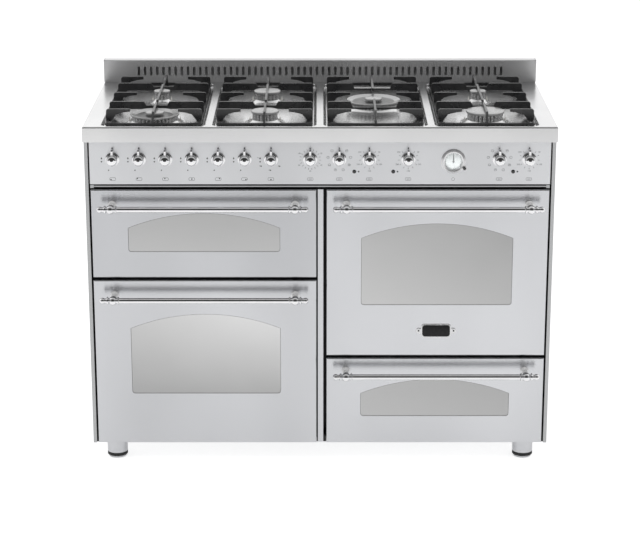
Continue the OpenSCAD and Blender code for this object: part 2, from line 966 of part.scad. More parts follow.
// Burner cups: flared skirt on the well's floor, body below it, spark and sensor pins
module burner_cups() {
    color([0.7, 0.7, 0.7])
        in_place()
            for (b = BURNERS)
                translate([burner_x(b), b[1], 0])
                    difference() {
                        union() {
                            translate([0, 0, floor_z])
                                cylinder(r1 = head_r(b) + cup_rim, r2 = head_r(b) - 2.5, h = skirt_h);
                            translate([0, 0, floor_z - cup_drop])
                                cylinder(r = cup_r(b), h = cup_drop + 1);
                            for (s = [-1, 1])
                                translate([s * (head_r(b) + 2.8), 0, floor_z])
                                    cylinder(r = spark_r, h = 16);
                        }
                        translate([0, 0, floor_z - cup_drop + 2])
                            cylinder(r = cup_r(b) - 3, h = cup_drop + cup_t);
                        translate([0, 0, floor_z + cup_t])
                            cylinder(r = head_r(b) - 3, h = 2 * skirt_h);
                    }
}

// Fluted burner heads; ring burners have an outer ring and an inner head
module flame_slots(r, low, top, count) {
    w = flute_share * 2 * PI * r / count;
    for (i = [0:count - 1])
        rotate(i * 360 / count)
            translate([r - 5, -w / 2, low])
                cube([8, w, top - low + eps]);
}

module plain_head(r, top, flutes) {
    seat = floor_z + cup_t;
    difference() {
        rotate_extrude()
            polygon([
                [8, seat],
                [r - 3.5, seat],
                [r - 4.5, seat + 5],
                [r, seat + 8],
                [r, top],
                [8, top]
            ]);
        flame_slots(r, seat + 8.5, top, flutes);
    }
}

module ring_head(r, top, flutes) {
    seat = floor_z + cup_t;
    difference() {
        rotate_extrude()
            polygon([
                [ring_hole, seat],
                [r - 3.5, seat],
                [r - 4.5, seat + 4],
                [r, seat + 7],
                [r, top],
                [ring_hole, top]
            ]);
        flame_slots(r, seat + 7.5, top, flutes);
    }
}

module burner_heads() {
    color([0.62, 0.62, 0.62])
        in_place()
            for (b = BURNERS)
                translate([burner_x(b), b[1], 0])
                    if (is_ring(b)) {
                        ring_head(RING_R[b[2]], hob_z + ring_top - ring_cap_h, FLUTES[b[2]]);
                        plain_head(CAP_R[b[2]] - 0.5, hob_z + ring_inner_top - cap_h, FLUTES[0]);
                        for (a = [0, 120, 240])
                            rotate(a)
                                block([CAP_R[b[2]] - 5, -4, floor_z + cup_t], [ring_hole + 1, 4, floor_z + cup_t + 6]);
                    } else {
                        plain_head(CAP_R[b[2]] - 0.5, hob_z + cap_top - cap_h, FLUTES[b[2]]);
                    }
}

// Enamelled caps: discs with a rounded edge, rings on the ring burners
module plain_cap(r, top) {
    rotate_extrude()
        polygon(concat(
            [[0, top - cap_h], [r - 1, top - cap_h]],
            [[r, top - cap_h + 1.5]],
            arc([r - 3, top - 4], 3, 0, 75, 5),
            [[0, top]]
        ));
}

module ring_cap(r, top) {
    low = top - ring_cap_h;
    rotate_extrude()
        polygon(concat(
            [[ring_hole, low], [r - 1, low]],
            [[r, low + 1]],
            arc([r - 3, top - 3], 3, 0, 90, 5),
            arc([ring_hole + 2, top - 2], 2, 90, 180, 4)
        ));
}

module burner_caps() {
    color([0.42, 0.42, 0.42])
        in_place()
            for (b = BURNERS)
                translate([burner_x(b), b[1], 0])
                    if (is_ring(b)) {
                        ring_cap(RING_R[b[2]], hob_z + ring_top);
                        plain_cap(CAP_R[b[2]], hob_z + ring_inner_top);
                    } else {
                        plain_cap(CAP_R[b[2]], hob_z + cap_top);
                    }
}

// Gas side: rail, seven taps, pipes to the burner cups, inlet at the back
// The rear burners' pipes run low and the front ones above them, so none cross
PIPE_LEVEL = [4, 0, 5, 1, 2, 6, 3];

module gas_pipe(tap, b, level) {
    z = pipe_first + level * pipe_step;
    x = GAS_X[tap];
    from_z = knob_z + tap_r - 2;
    foot = [burner_x(b) + pipe_side, b[1], floor_z - cup_drop];
    bar([x, gas_rail_u - 22, from_z], [x, gas_rail_u - 22, z], pipe_r);
    translate([x, gas_rail_u - 22, z])
        sphere(elbow_r);
    bar([x, gas_rail_u - 22, z], [foot[0], foot[1], z], pipe_r);
    translate([foot[0], foot[1], z])
        sphere(elbow_r);
    bar([foot[0], foot[1], z], foot, pipe_r);
}

module gas_manifold() {
    color([0.75, 0.68, 0.42])
        in_place() {
            difference() {
                union() {
                    bar([inlet_x, gas_rail_u, knob_z], [GAS_X[6] + gas_rail_end, gas_rail_u, knob_z], gas_rail_r);
                    translate([inlet_x, gas_rail_u, knob_z])
                        sphere(gas_rail_r + 2);
                    rod_u(inlet_x, knob_z, inlet_pipe_r, gas_rail_u, body_d - 8);
                    translate([inlet_x, body_d - 16, knob_z])
                        rotate([-90, 0, 0])
                            cylinder(r = 15, h = 12, $fn = 6);
                    rod_u(inlet_x, knob_z, inlet_shoulder_r, body_d - 8, body_d + sheet_t);
                    rod_u(inlet_x, knob_z, inlet_r, body_d, body_d + sheet_t + inlet_out);
                    for (x = GAS_X) {
                        rod_u(x, knob_z, neck_r, skin_t, gas_rail_u);
                        rod_u(x, knob_z, tap_r, unit_u, unit_u + tap_len);
                    }
                    for (i = [0:6])
                        gas_pipe(i, BURNERS[i], PIPE_LEVEL[i]);
                }
                for (x = GAS_X)
                    rod_u(x, knob_z, spindle_r + fit, 0, spindle_end + 1);
                rod_u(inlet_x, knob_z, inlet_r - 3, body_d - 4, body_d + sheet_t + inlet_out + eps);
            }
        }
}

// Electrical side: a switch or thermostat behind each electric knob, fan motor
module electrical_units() {
    color([0.9, 0.89, 0.85])
        in_place() {
            for (x = ELECTRIC_X)
                difference() {
                    union() {
                        rod_u(x, knob_z, neck_r, skin_t, unit_u + 1);
                        block(
                            [x - unit_half, unit_u, knob_z - unit_half],
                            [x + unit_half, unit_u + unit_len, knob_z + unit_half]
                        );
                    }
                    rod_u(x, knob_z, spindle_r + fit, 0, spindle_end + 1);
                }
            translate([right_mid, 0, fan_z])
                difference() {
                    union() {
                        rod_u(0, 0, motor_r, oven_back + sheet_t + motor_plate, oven_back + sheet_t + motor_len);
                        along_u(oven_back + sheet_t, oven_back + sheet_t + motor_plate)
                            round_rect(90, 90, 12);
                    }
                    rod_u(0, 0, shaft_r + fit, oven_back, oven_back + sheet_t + motor_len - 8);
                }
        }
}

// Clock: housing with a stepped bezel, dial and arbor, and the set knob's boss
glass_u = -4.6;
glass_rear = glass_u + clock_glass_t;
hand_u = -2.9;

module clock_case() {
    rim = bezel_r;
    color([0.8, 0.8, 0.82])
        in_place()
            translate([clock_x, 0, clock_z]) {
                difference() {
                    union() {
                        rotate([90, 0, 0])
                            rotate_extrude()
                                polygon([
                                    [0, 0],
                                    [rim, 0],
                                    [rim, 2],
                                    [rim - 2.5, 3],
                                    [rim - 3.5, 5],
                                    [rim - 5.5, 6],
                                    [dial_r - clock_lip, 5.4],
                                    [0, 5.4]
                                ]);
                        rod_u(0, 0, dial_r + 2, -eps, clock_depth);
                        rod_u(set_x, set_z, set_boss_r, -3, 0);
                    }
                    rod_u(0, 0, dial_r - clock_lip, -7, -1);
                    rod_u(0, 0, dial_r + gap, glass_u, glass_rear);
                    rod_u(set_x, set_z, arbor_r + fit, -4, 1);
                }
                rod_u(0, 0, arbor_r, hand_u - 0.3, -eps);
            }
}

module clock_glass() {
    color([0.85, 0.9, 0.92, 0.4])
        in_place()
            rod_u(clock_x, clock_z, dial_r, glass_u, glass_rear);
}

// Clock hands on the arbor, the hour hand behind the minute hand
module hand(len, w, u) {
    translate([clock_x, u, clock_z])
        difference() {
            union() {
                rod_u(0, 0, hand_hub_r, 0, hand_t);
                along_u(0, hand_t)
                    polygon([[-w / 2, -4], [w / 2, -4], [w * 0.4, len], [-w * 0.4, len]]);
            }
            rod_u(0, 0, arbor_r + fit, -eps, hand_t + eps);
        }
}

module minute_hand() {
    color([0.15, 0.15, 0.16])
        in_place()
            hand(19, 1.8, hand_u);
}

module hour_hand() {
    color([0.15, 0.15, 0.16])
        in_place()
            hand(13, 2.4, hand_u + hand_t + gap);
}

module clock_knob() {
    color([0.7, 0.7, 0.72])
        in_place()
            translate([clock_x + set_x, 0, clock_z + set_z]) {
                rod_u(0, 0, set_r, -8, -3 - gap);
                rod_u(0, 0, arbor_r, -4, skin_t + 6);
            }
}

// Indicator lamps: lens with a flange, body through the panel
module indicator_lamps() {
    color([0.12, 0.12, 0.13])
        in_place()
            for (x = LAMP_X) {
                rod_u(x, lamp_z, lamp_d / 2, -1.5, 0);
                rod_u(x, lamp_z, lamp_d / 2 - 1, -0.5, 18);
            }
}

// Feet: sleeve under the base, screw foot inside it
module feet() {
    sleeve_low = 15;
    wall = 2;
    color([0.75, 0.75, 0.76])
        in_place()
            for (p = foot_places())
                translate([p[0], p[1], 0]) {
                    translate([0, 0, sleeve_low])
                        difference() {
                            cylinder(r = sleeve_d / 2, h = base_z - sleeve_low);
                            translate([0, 0, -eps])
                                cylinder(r = sleeve_d / 2 - wall, h = base_z - sleeve_low - 4 + eps);
                            cylinder(r = stem_r + gap, h = base_z);
                        }
                    rotate_extrude()
                        polygon([
                            [0, 0],
                            [sole_d / 2, 0],
                            [sole_d / 2, 4],
                            [sole_d / 2 - 4, 4],
                            [sole_d / 2 - 4, 6],
                            [sleeve_d / 2 - 0.5, 6],
                            [sleeve_d / 2 - 0.5, 11],
                            [sleeve_d / 2 - wall - 2, 11],
                            [sleeve_d / 2 - wall - 2, 22],
                            [stem_r, 22],
                            [stem_r, base_z + foot_bush + 8],
                            [0, base_z + foot_bush + 8]
                        ]);
                }
}

// Convection fan: back disc with radial blades on a shaft
module convection_fan() {
    blade_t = 1.2;
    color([0.7, 0.71, 0.72])
        in_place()
            translate([right_mid, 0, fan_z]) {
                rod_u(0, 0, fan_d / 2, fan_u + fan_w - 1.2, fan_u + fan_w);
                rod_u(0, 0, 9, fan_u, fan_u + fan_w);
                rod_u(0, 0, shaft_r, fan_u, oven_back + sheet_t + motor_len - 10);
                for (i = [0:11])
                    rotate([0, i * 30, 0])
                        block([fan_d / 4, fan_u, -blade_t / 2], [fan_d / 2 - 1, fan_u + fan_w, blade_t / 2]);
            }
}

// Wire shelf: frame of thick wire, thin wires from front to back
module wire_shelf(d, up) {
    z = oven_floor(d) + up;
    x = door_mid(d);
    half = oven_w / 2 - shelf_side - shelf_r;
    for (s = [-1, 1]) {
        bar([x + s * half, shelf_front_u, z], [x + s * half, shelf_rear_u, z], shelf_r);
        for (u = [shelf_front_u, shelf_rear_u])
            translate([x + s * half, u, z])
                sphere(shelf_r);
    }
    for (u = [shelf_front_u, shelf_rear_u])
        bar([x - half, u, z], [x + half, u, z], shelf_r);
    for (i = [1:shelf_wires])
        bar(
            [x - half + i * 2 * half / (shelf_wires + 1), shelf_front_u, z],
            [x - half + i * 2 * half / (shelf_wires + 1), shelf_rear_u, z],
            shelf_wire_r
        );
}

module wire_shelf_top_left() {
    color([0.75, 0.76, 0.77])
        in_place()
            wire_shelf(DOOR_TL, shelf_top_up);
}

module wire_shelf_bottom_left() {
    color([0.75, 0.76, 0.77])
        in_place()
            wire_shelf(DOOR_BL, shelf_low_up);
}

module wire_shelf_right() {
    color([0.75, 0.76, 0.77])
        in_place()
            wire_shelf(DOOR_R, shelf_low_up);
}

// Pan support: frame rod, five cross bars and a bar along the middle line.
// Heights in the bar drawings count from the hob surface.
module finger_bar() {
    g = grate_half;
    mid_h = grate_h - finger_t;
    for (s = [0, 1])
        mirror([s, 0])
            polygon(concat(
                [[g, rod_low]],
                arc([g - 6, grate_h - 6], 6, 0, 90, 5),
                [
                    [finger_tip, grate_h],
                    [finger_tip, mid_h],
                    [finger_tip + 16.5, mid_h - 2],
                    [g - 26, mid_h - 7],
                    [g - 13, 0],
                    [g - 13, rod_low]
                ]
            ));
}

module through_bar(dip_half, dip) {
    g = grate_half;
    slope = 6;
    for (s = [0, 1])
        mirror([s, 0])
            polygon(concat(
                [[g, rod_low]],
                arc([g - 6, grate_h - 6], 6, 0, 90, 5),
                [
                    [dip_half + slope, grate_h],
                    [dip_half, grate_h - dip],
                    [-1, grate_h - dip],
                    [-1, bar_under],
                    [g - 26, bar_under],
                    [g - 13, 0],
                    [g - 13, rod_low]
                ]
            ));
}

module middle_bar(u_front, u_rear) {
    low = grate_h - finger_t;
    a = CROSS_U[1];
    b = CROSS_U[3];
    polygon([
        [u_front, rod_low],
        [u_front, 14],
        [u_front + 19, grate_h],
        [a - 13, grate_h],
        [a - 3, grate_h - dip],
        [a + 12, grate_h - dip],
        [a + 20, grate_h],
        [b - 13, grate_h],
        [b - 3, grate_h - dip],
        [b + 12, grate_h - dip],
        [b + 38, grate_h],
        [u_rear - 22, grate_h],
        [u_rear, 12],
        [u_rear, rod_low],
        [u_rear - leg_w, rod_low],
        [u_rear - leg_w - 2, 6],
        [u_rear - 34, low],
        [b + 30, low],
        [b + 8, bar_under],
        [b - 3, bar_under],
        [b - 5, 15],
        [b - 12.5, low],
        [a + 24, low],
        [a + 8, bar_under],
        [a - 3, bar_under],
        [a - 4.5, 16],
        [a - 12.5, low],
        [u_front + 30, low],
        [u_front + leg_w + 1, ring_top + 2],
        [u_front + leg_w, rod_low]
    ]);
}

module wok_fingers(u_front, u_rear) {
    low = grate_h - finger_t;
    a = CROSS_U[1];
    b = CROSS_U[3];
    front_tip = wok_u - 68;
    rear_tip = wok_u + 64;
    polygon([
        [u_front, rod_low],
        [u_front, 10],
        [u_front + 34, grate_h],
        [front_tip, grate_h],
        [front_tip, low],
        [a + 12, bar_under],
        [a - 12, bar_under],
        [u_front + 40, low - 4],
        [u_front + leg_w + 2, 6],
        [u_front + leg_w, rod_low]
    ]);
    polygon([
        [u_rear, rod_low],
        [u_rear, 10],
        [u_rear - 30, grate_h],
        [rear_tip, grate_h],
        [rear_tip, low],
        [b - 12, bar_under],
        [b + 12, bar_under],
        [u_rear - 40, low - 4],
        [u_rear - leg_w - 2, 6],
        [u_rear - leg_w, rod_low]
    ]);
}

module pan_support(i, wok) {
    rear = grate_u + grate_len;
    t = bar_t / 2;
    color([0.1, 0.1, 0.11])
        in_place()
            translate([well_x(i), 0, hob_z]) {
                translate([0, grate_u + grate_len / 2, rod_low])
                    linear_extrude(frame_rod)
                        difference() {
                            round_rect(grate_w, grate_len, 14);
                            round_rect(grate_w - 2 * frame_rod, grate_len - 2 * frame_rod, 14 - frame_rod);
                        }
                for (x = [-1, 1])
                    for (u = [grate_u + 40, rear - 40])
                        translate([x * (grate_half - frame_rod / 2), u, -well_depth])
                            cylinder(r = frame_rod / 2, h = well_depth + rod_low + eps);
                for (k = [0, 2, 4])
                    along_u(CROSS_U[k] - t, CROSS_U[k] + t)
                        finger_bar();
                for (k = [1, 3])
                    along_u(CROSS_U[k] - t, CROSS_U[k] + t)
                        through_bar(wok ? WOK_DIP_HALF[(k - 1) / 2] : dip_half, wok ? wok_dip : dip);
                along_x(-t, t)
                    if (wok)
                        wok_fingers(grate_u, rear);
                    else
                        middle_bar(grate_u, rear);
            }
}

module pan_support_left() {
    pan_support(0, false);
}

module pan_support_mid_left() {
    pan_support(1, false);
}

module pan_support_wok() {
    pan_support(2, true);
}

module pan_support_right() {
    pan_support(3, false);
}

// Knob: turned ring and bulb with a pointer tongue, and its spindle
module knob(x) {
    r = knob_d / 2;
    color([0.8, 0.8, 0.83])
        in_place()
            translate([x, 0, knob_z]) {
                rotate([90, 0, 0])
                    rotate_extrude()
                        polygon(concat(
                            [
                                [0, gap],
                                [skirt_d / 2, gap],
                                [skirt_d / 2, 1.6],
                                [skirt_d / 2 - 1.5, 2.8],
                                [r - 1, 3.2],
                                [r - 2.5, 5],
                                [r - 2.5, 9],
                                [r - 1, 12]
                            ],
                            arc([r - 9, knob_len - 12], 9, -20, 60, 7),
                            [[0, knob_len]]
                        ));
                along_u(-knob_len + 6, -7) {
                    translate([-3, 0])
                        square([6, pointer_len - 3]);
                    translate([0, pointer_len - 3])
                        circle(3);
                }
                rod_u(0, 0, spindle_r, -5, spindle_end);
            }
}

// Door shell: folded front pan with its window, hinge cheeks and pins, inner panel
module shell_block(d, from_u, to_u, inset, r) {
    x0 = d[0] + inset;
    x1 = d[1] - inset;
    z0 = d[2] + inset;
    z1 = d[3] - inset;
    intersection() {
        translate([0, 0, z0])
            linear_extrude(z1 - z0)
                front_round(x0, x1, from_u, to_u, r);
        translate([x0, 0, 0])
            rotate([90, 0, 90])
                linear_extrude(x1 - x0)
                    rotate(90)
                        mirror([0, 1])
                            front_round(z0, z1, from_u, to_u, r);
    }
}

// Section of a shell across its width: two round corners at the front
module front_round(a, b, from_u, to_u, r) {
    translate([a, from_u + r])
        square([b - a, to_u - from_u - r]);
    translate([a + r, from_u])
        square([b - a - 2 * r, to_u - from_u]);
    for (x = [a + r, b - r])
        translate([x, from_u + r])
            circle(r, $fn = 24);
}

module window_hole(d, grow, from_u, to_u) {
    along_u(from_u, to_u)
        translate([door_mid(d), d[2] + d[4] - grow])
            arch(window_w + 2 * grow, d[5] + grow, window_rise + grow * 0.3, 8 + grow * 0.5);
}

module pan(d) {
    t = skin_t;
    rear = door_t - t;
    difference() {
        shell_block(d, 0, door_t, 0, door_r);
        difference() {
            shell_block(d, t, rear, t, door_r - t);
        }
        block([d[0] + flange_w, rear - eps, d[2] + hinge_flange], [d[1] - flange_w, door_t + eps, d[3] - flange_w]);
        window_hole(d, 0, -eps, t + eps);
    }
}

module inner_panel(d) {
    t = inner_panel_t;
    rear = door_t - skin_t;
    low = d[2] + hinge_flange - 3;
    border = 70;
    difference() {
        block([d[0] + skin_t + pan_in, rear - t, low], [d[1] - skin_t - pan_in, rear, d[3] - skin_t - pan_in]);
        along_u(rear - t - eps, rear + eps)
            translate([door_mid(d), (low + d[3]) / 2])
                round_rect(window_w - 20, d[3] - low - 2 * border + 20, 10);
    }
}

module hinge_slot(x, d) {
    half = lug_t / 2 + slot_side;
    block([x - half, skin_t, d[2] - eps], [x + half, door_t + eps, d[2] + 2 * hinge_up - 2]);
}

module hinge_cheeks(x, d) {
    half = lug_t / 2 + slot_side;
    cheek = 2;
    z = d[2] + hinge_up;
    for (s = [-1, 1])
        translate([x + s * (half + cheek / 2) - cheek / 2, skin_t - 0.1, d[2] + skin_t - 0.1])
            cube([cheek, door_t - 2 * skin_t - inner_panel_t, 2 * hinge_up - 4]);
    translate([x - half - cheek, hinge_in, z])
        rotate([0, 90, 0])
            cylinder(r = pin_r, h = 2 * (half + cheek));
}

module door_panel(d) {
    color([0.8, 0.8, 0.81])
        in_place() {
            difference() {
                pan(d);
                for (x = hinge_places(d))
                    hinge_slot(x, d);
            }
            for (x = hinge_places(d))
                hinge_cheeks(x, d);
            inner_panel(d);
        }
}

// Panes: arched outer pane behind the pan's window, plain inner pane
module door_panes(d, inner) {
    rear = door_t - skin_t - inner_panel_t;
    low = d[2] + hinge_flange - 3;
    border = 70;
    color([0.5, 0.52, 0.54, 0.7])
        in_place() {
            window_hole(d, glass_lap, skin_t, skin_t + glass_t);
            if (inner)
                along_u(rear - glass_t, rear)
                    translate([door_mid(d), (low + d[3]) / 2])
                        round_rect(window_w + 4, d[3] - low - 2 * border + 44, 4);
        }
}

// Handle: turned rail with a ball and rings on each bracket, end finials
module handle(d) {
    z = d[3] - d[6];
    x = door_mid(d);
    r = rail_d / 2;
    c = collar_d / 2;
    half = handle_len / 2;
    span = bracket_span / 2;
    color([0.82, 0.82, 0.84])
        in_place()
            translate([x, 0, z]) {
                bar([-span, -rail_out, 0], [span, -rail_out, 0], r);
                for (s = [-1, 1]) {
                    translate([s * span, -rail_out, 0])
                        rotate([0, s * 90, 0]) {
                            rotate_extrude()
                                polygon(concat(
                                    [[0, -16], [r + 1, -16], [r + 3, -14.5], [r + 3, -12.5], [r + 0.5, -11]],
                                    arc([0, 0], c, -62, 62, 10),
                                    [
                                        [r + 0.5, 11],
                                        [r + 3, 12.5],
                                        [r + 3, 14.5],
                                        [r + 1, 16],
                                        [r - 1, 18],
                                        [r - 1, 22]
                                    ],
                                    arc([0, half - span - 8], 8, -50, 90, 8)
                                ));
                        }
                    translate([s * span, 0, 0])
                        rotate([90, 0, 0])
                            rotate_extrude()
                                polygon([
                                    [0, 0],
                                    [11, 0],
                                    [11, 3],
                                    [8.5, 5],
                                    [6.5, 9],
                                    [6, 20],
                                    [7, 30],
                                    [9, 36],
                                    [9, 39],
                                    [6, 42],
                                    [0, 42]
                                ]);
                }
            }
}

module drawer_front() {
    color([0.8, 0.8, 0.81])
        in_place() {
            pan(DRAWER);
            inner_panel(DRAWER);
        }
}

// Drawer box: open tray behind the front, with a slide bar on each side
module drawer_box() {
    t = sheet_t;
    color([0.7, 0.71, 0.72])
        in_place()
            translate([right_mid, 0, 0]) {
                difference() {
                    block([-box_w / 2, door_t, box_z], [box_w / 2, door_t + box_len, box_z + box_h]);
                    block(
                        [-box_w / 2 + t, door_t + t, box_z + t],
                        [box_w / 2 - t, door_t + box_len - t, box_z + box_h + eps]
                    );
                }
                for (s = [0, 1])
                    mirror([s, 0, 0])
                        block(
                            [box_w / 2 - t / 2, door_t + 10, runner_z - runner_h / 2 + runner_t + runner_gap],
                            [bay_half - runner_t - runner_gap, door_t + box_len, runner_z + runner_h / 2 - runner_t - runner_gap]
                        );
            }
}

side_panel_left();
side_panel_right();
base_frame();
back_panel();
front_frame();
hob_top();
upstand();
control_panel();
oven_liner_top_left();
oven_liner_bottom_left();
oven_liner_right();
heating_elements();
door_seals();
drawer_runners();
burner_cups();
burner_heads();
burner_caps();
gas_manifold();
electrical_units();
clock_case();
clock_glass();
indicator_lamps();
feet();
convection_fan();
wire_shelf_top_left();
wire_shelf_bottom_left();
wire_shelf_right();
pan_support_left();
pan_support_mid_left();
pan_support_wok();
pan_support_right();
for (i = [0:12])
    knob(KNOB_X[i]);
clock_knob();
minute_hand();
hour_hand();
door_panel(DOOR_TL);  // door_panel_top_left
door_panes(DOOR_TL, true);  // door_glass_top_left
handle(DOOR_TL);  // door_handle_top_left
door_panel(DOOR_BL);  // door_panel_bottom_left
door_panes(DOOR_BL, true);  // door_glass_bottom_left
handle(DOOR_BL);  // door_handle_bottom_left
door_panel(DOOR_R);  // door_panel_right
door_panes(DOOR_R, true);  // door_glass_right
handle(DOOR_R);  // door_handle_right
drawer_front();
door_panes(DRAWER, false);  // drawer_glass
handle(DRAWER);  // drawer_handle
drawer_box();
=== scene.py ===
import math

import bmesh
import bpy
from mathutils import Matrix, Vector


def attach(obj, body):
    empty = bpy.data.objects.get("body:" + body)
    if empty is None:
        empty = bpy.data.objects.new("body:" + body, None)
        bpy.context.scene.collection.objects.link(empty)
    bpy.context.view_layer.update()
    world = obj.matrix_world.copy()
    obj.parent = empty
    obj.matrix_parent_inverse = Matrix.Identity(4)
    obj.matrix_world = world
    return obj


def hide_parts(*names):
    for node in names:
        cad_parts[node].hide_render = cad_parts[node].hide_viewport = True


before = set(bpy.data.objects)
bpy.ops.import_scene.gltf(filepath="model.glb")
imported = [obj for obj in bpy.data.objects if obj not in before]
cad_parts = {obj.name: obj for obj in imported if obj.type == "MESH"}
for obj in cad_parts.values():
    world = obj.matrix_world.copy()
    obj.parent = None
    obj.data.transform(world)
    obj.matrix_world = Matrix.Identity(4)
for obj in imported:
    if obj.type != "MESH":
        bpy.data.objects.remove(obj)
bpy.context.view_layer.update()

# The studio: a wide pale floor, two soft lamps and the camera, which stands square to the front of the
# cooker and looks down on it through a long lens, as the photographer's did.
scene = bpy.context.scene
scene.view_settings.view_transform = "Standard"

CAMERA_PLACE = (0, -5.267, 2.044)
LOOKS_DOWN = 16.67
LENS, SENSOR = 114.3, 36
camera_data = bpy.data.cameras.new("camera")
camera_data.lens = LENS
camera_data.sensor_width = SENSOR
camera = bpy.data.objects.new("camera", camera_data)
camera.location = CAMERA_PLACE
camera.rotation_euler = (math.radians(90 - LOOKS_DOWN), 0, 0)
scene.collection.objects.link(camera)
scene.camera = camera


def softbox(name, place, target, size, watts):
    lamp = bpy.data.lights.new(name, "AREA")
    lamp.shape = "RECTANGLE"
    lamp.size, lamp.size_y = size
    lamp.energy = watts
    holder = bpy.data.objects.new(name, lamp)
    holder.location = place
    holder.rotation_euler = (Vector(target) - Vector(place)).to_track_quat("-Z", "Y").to_euler()
    holder.visible_glossy = False
    scene.collection.objects.link(holder)


MIDDLE = (0, 0, 0.6)
softbox("softbox_left", (-2.2, -2.6, 3.4), MIDDLE, (2.2, 1.6), 34)
softbox("softbox_right", (2.8, -1.6, 3.0), MIDDLE, (1.6, 1.6), 16)


class Graph:
    """A node tree with short ways to add a node, to join two sockets and to do sums."""

    def __init__(self, tree):
        self.tree = tree
        tree.nodes.clear()

    def add(self, kind, **settings):
        node = self.tree.nodes.new(kind)
        for key, value in settings.items():
            setattr(node, key, value)
        return node

    def join(self, source, target):
        self.tree.links.new(source, target)

    def sum_of(self, operation, a, b, clamp=False):
        node = self.add("ShaderNodeMath", operation=operation, use_clamp=clamp)
        for socket, value in zip(node.inputs, (a, b)):
            if isinstance(value, (int, float)):
                socket.default_value = value
            else:
                self.join(value, socket)
        return node.outputs[0]

    def ramp(self, source, stops):
        node = self.add("ShaderNodeValToRGB")
        elements = node.color_ramp.elements
        while len(elements) < len(stops):
            elements.new(0.5)
        for element, (place, tone) in zip(elements, stops):
            element.position = place
            element.color = (*tone, 1) if isinstance(tone, tuple) else (tone, tone, tone, 1)
        self.join(source, node.inputs[0])
        return node.outputs[0]


# How bright the room is: as light on the object, and at most in a mirror; and how bright the floor's
# own glow is to the camera and in a mirror. A mirror sees a dark room in front and a bright one behind.
ROOM_LIGHT, ROOM_MIRRORED = 0.58, 1.16
FLOOR_SEEN, FLOOR_MIRRORED = 0.74, 0.42
FLOOR_CORNERS = [(-30, -30, 0), (30, -30, 0), (30, 30, 0), (-30, 30, 0)]
studio_world = bpy.data.worlds.new("studio_world")
scene.world = studio_world
studio_world.use_nodes = True
sky = Graph(studio_world.node_tree)
path = sky.add("ShaderNodeLightPath")
direction = sky.add("ShaderNodeSeparateXYZ")
sky.join(sky.add("ShaderNodeTexCoord").outputs["Generated"], direction.inputs[0])
backward = sky.sum_of("MULTIPLY", sky.sum_of("ADD", direction.outputs[1], 1.0), 0.5)
ROOM_TONES = [(0.05, 0.032), (0.17, 0.048), (0.28, 0.20), (0.42, 0.50), (0.60, 0.86), (0.97, 1.0)]
mirrored = sky.sum_of("MULTIPLY", sky.ramp(backward, ROOM_TONES), ROOM_MIRRORED)
open_view = sky.sum_of("MAXIMUM", path.outputs["Is Camera Ray"], path.outputs["Is Transmission Ray"])
seen = sky.sum_of("MAXIMUM", open_view, sky.sum_of("MULTIPLY", path.outputs["Is Glossy Ray"], mirrored))
shown = sky.sum_of("MAXIMUM", open_view, path.outputs["Is Glossy Ray"])
lit = sky.sum_of("MULTIPLY", sky.sum_of("SUBTRACT", 1.0, shown), ROOM_LIGHT)
backdrop_shader = sky.add("ShaderNodeBackground")
backdrop_shader.inputs[0].default_value = (1, 1, 1, 1)
sky.join(sky.sum_of("ADD", seen, lit), backdrop_shader.inputs[1])
sky.join(backdrop_shader.outputs[0], sky.add("ShaderNodeOutputWorld").inputs[0])

floor_mesh = bpy.data.meshes.new("studio_floor")
floor_mesh.from_pydata(FLOOR_CORNERS, [], [(0, 1, 2, 3)])
studio_floor = bpy.data.objects.new("studio_floor", floor_mesh)
scene.collection.objects.link(studio_floor)
floor_paint = bpy.data.materials.new("floor_paint")
floor_paint.use_nodes = True
paper = Graph(floor_paint.node_tree)
path = paper.add("ShaderNodeLightPath")
shaded = paper.add("ShaderNodeBsdfDiffuse")
shaded.inputs[0].default_value = (0.80, 0.80, 0.80, 1)
glow = paper.add("ShaderNodeEmission")
glow.inputs[0].default_value = (1, 1, 1, 1)
open_view = paper.sum_of("MAXIMUM", path.outputs["Is Camera Ray"], path.outputs["Is Transmission Ray"])
seen_glow = paper.sum_of("MULTIPLY", open_view, FLOOR_SEEN)
mirror_glow = paper.sum_of("MULTIPLY", path.outputs["Is Glossy Ray"], FLOOR_MIRRORED)
paper.join(paper.sum_of("ADD", seen_glow, mirror_glow), glow.inputs[1])
both = paper.add("ShaderNodeAddShader")
paper.join(shaded.outputs[0], both.inputs[0])
paper.join(glow.outputs[0], both.inputs[1])
paper.join(both.outputs[0], paper.add("ShaderNodeOutputMaterial").inputs[0])
floor_mesh.materials.append(floor_paint)

# The carcase: two folded side panels, floor tray, back sheet and front frame, all of stainless or
# galvanised sheet about a millimetre thick, folded, punched and spot-welded.
DOOR_FRONT = -264.25


def depth(u):
    """Y of a depth in millimetres behind the door fronts."""
    return (u + DOOR_FRONT) / 1000


def filled(node, values):
    """Sets inputs of a node by their names."""
    for key, value in values.items():
        node.inputs[key].default_value = value


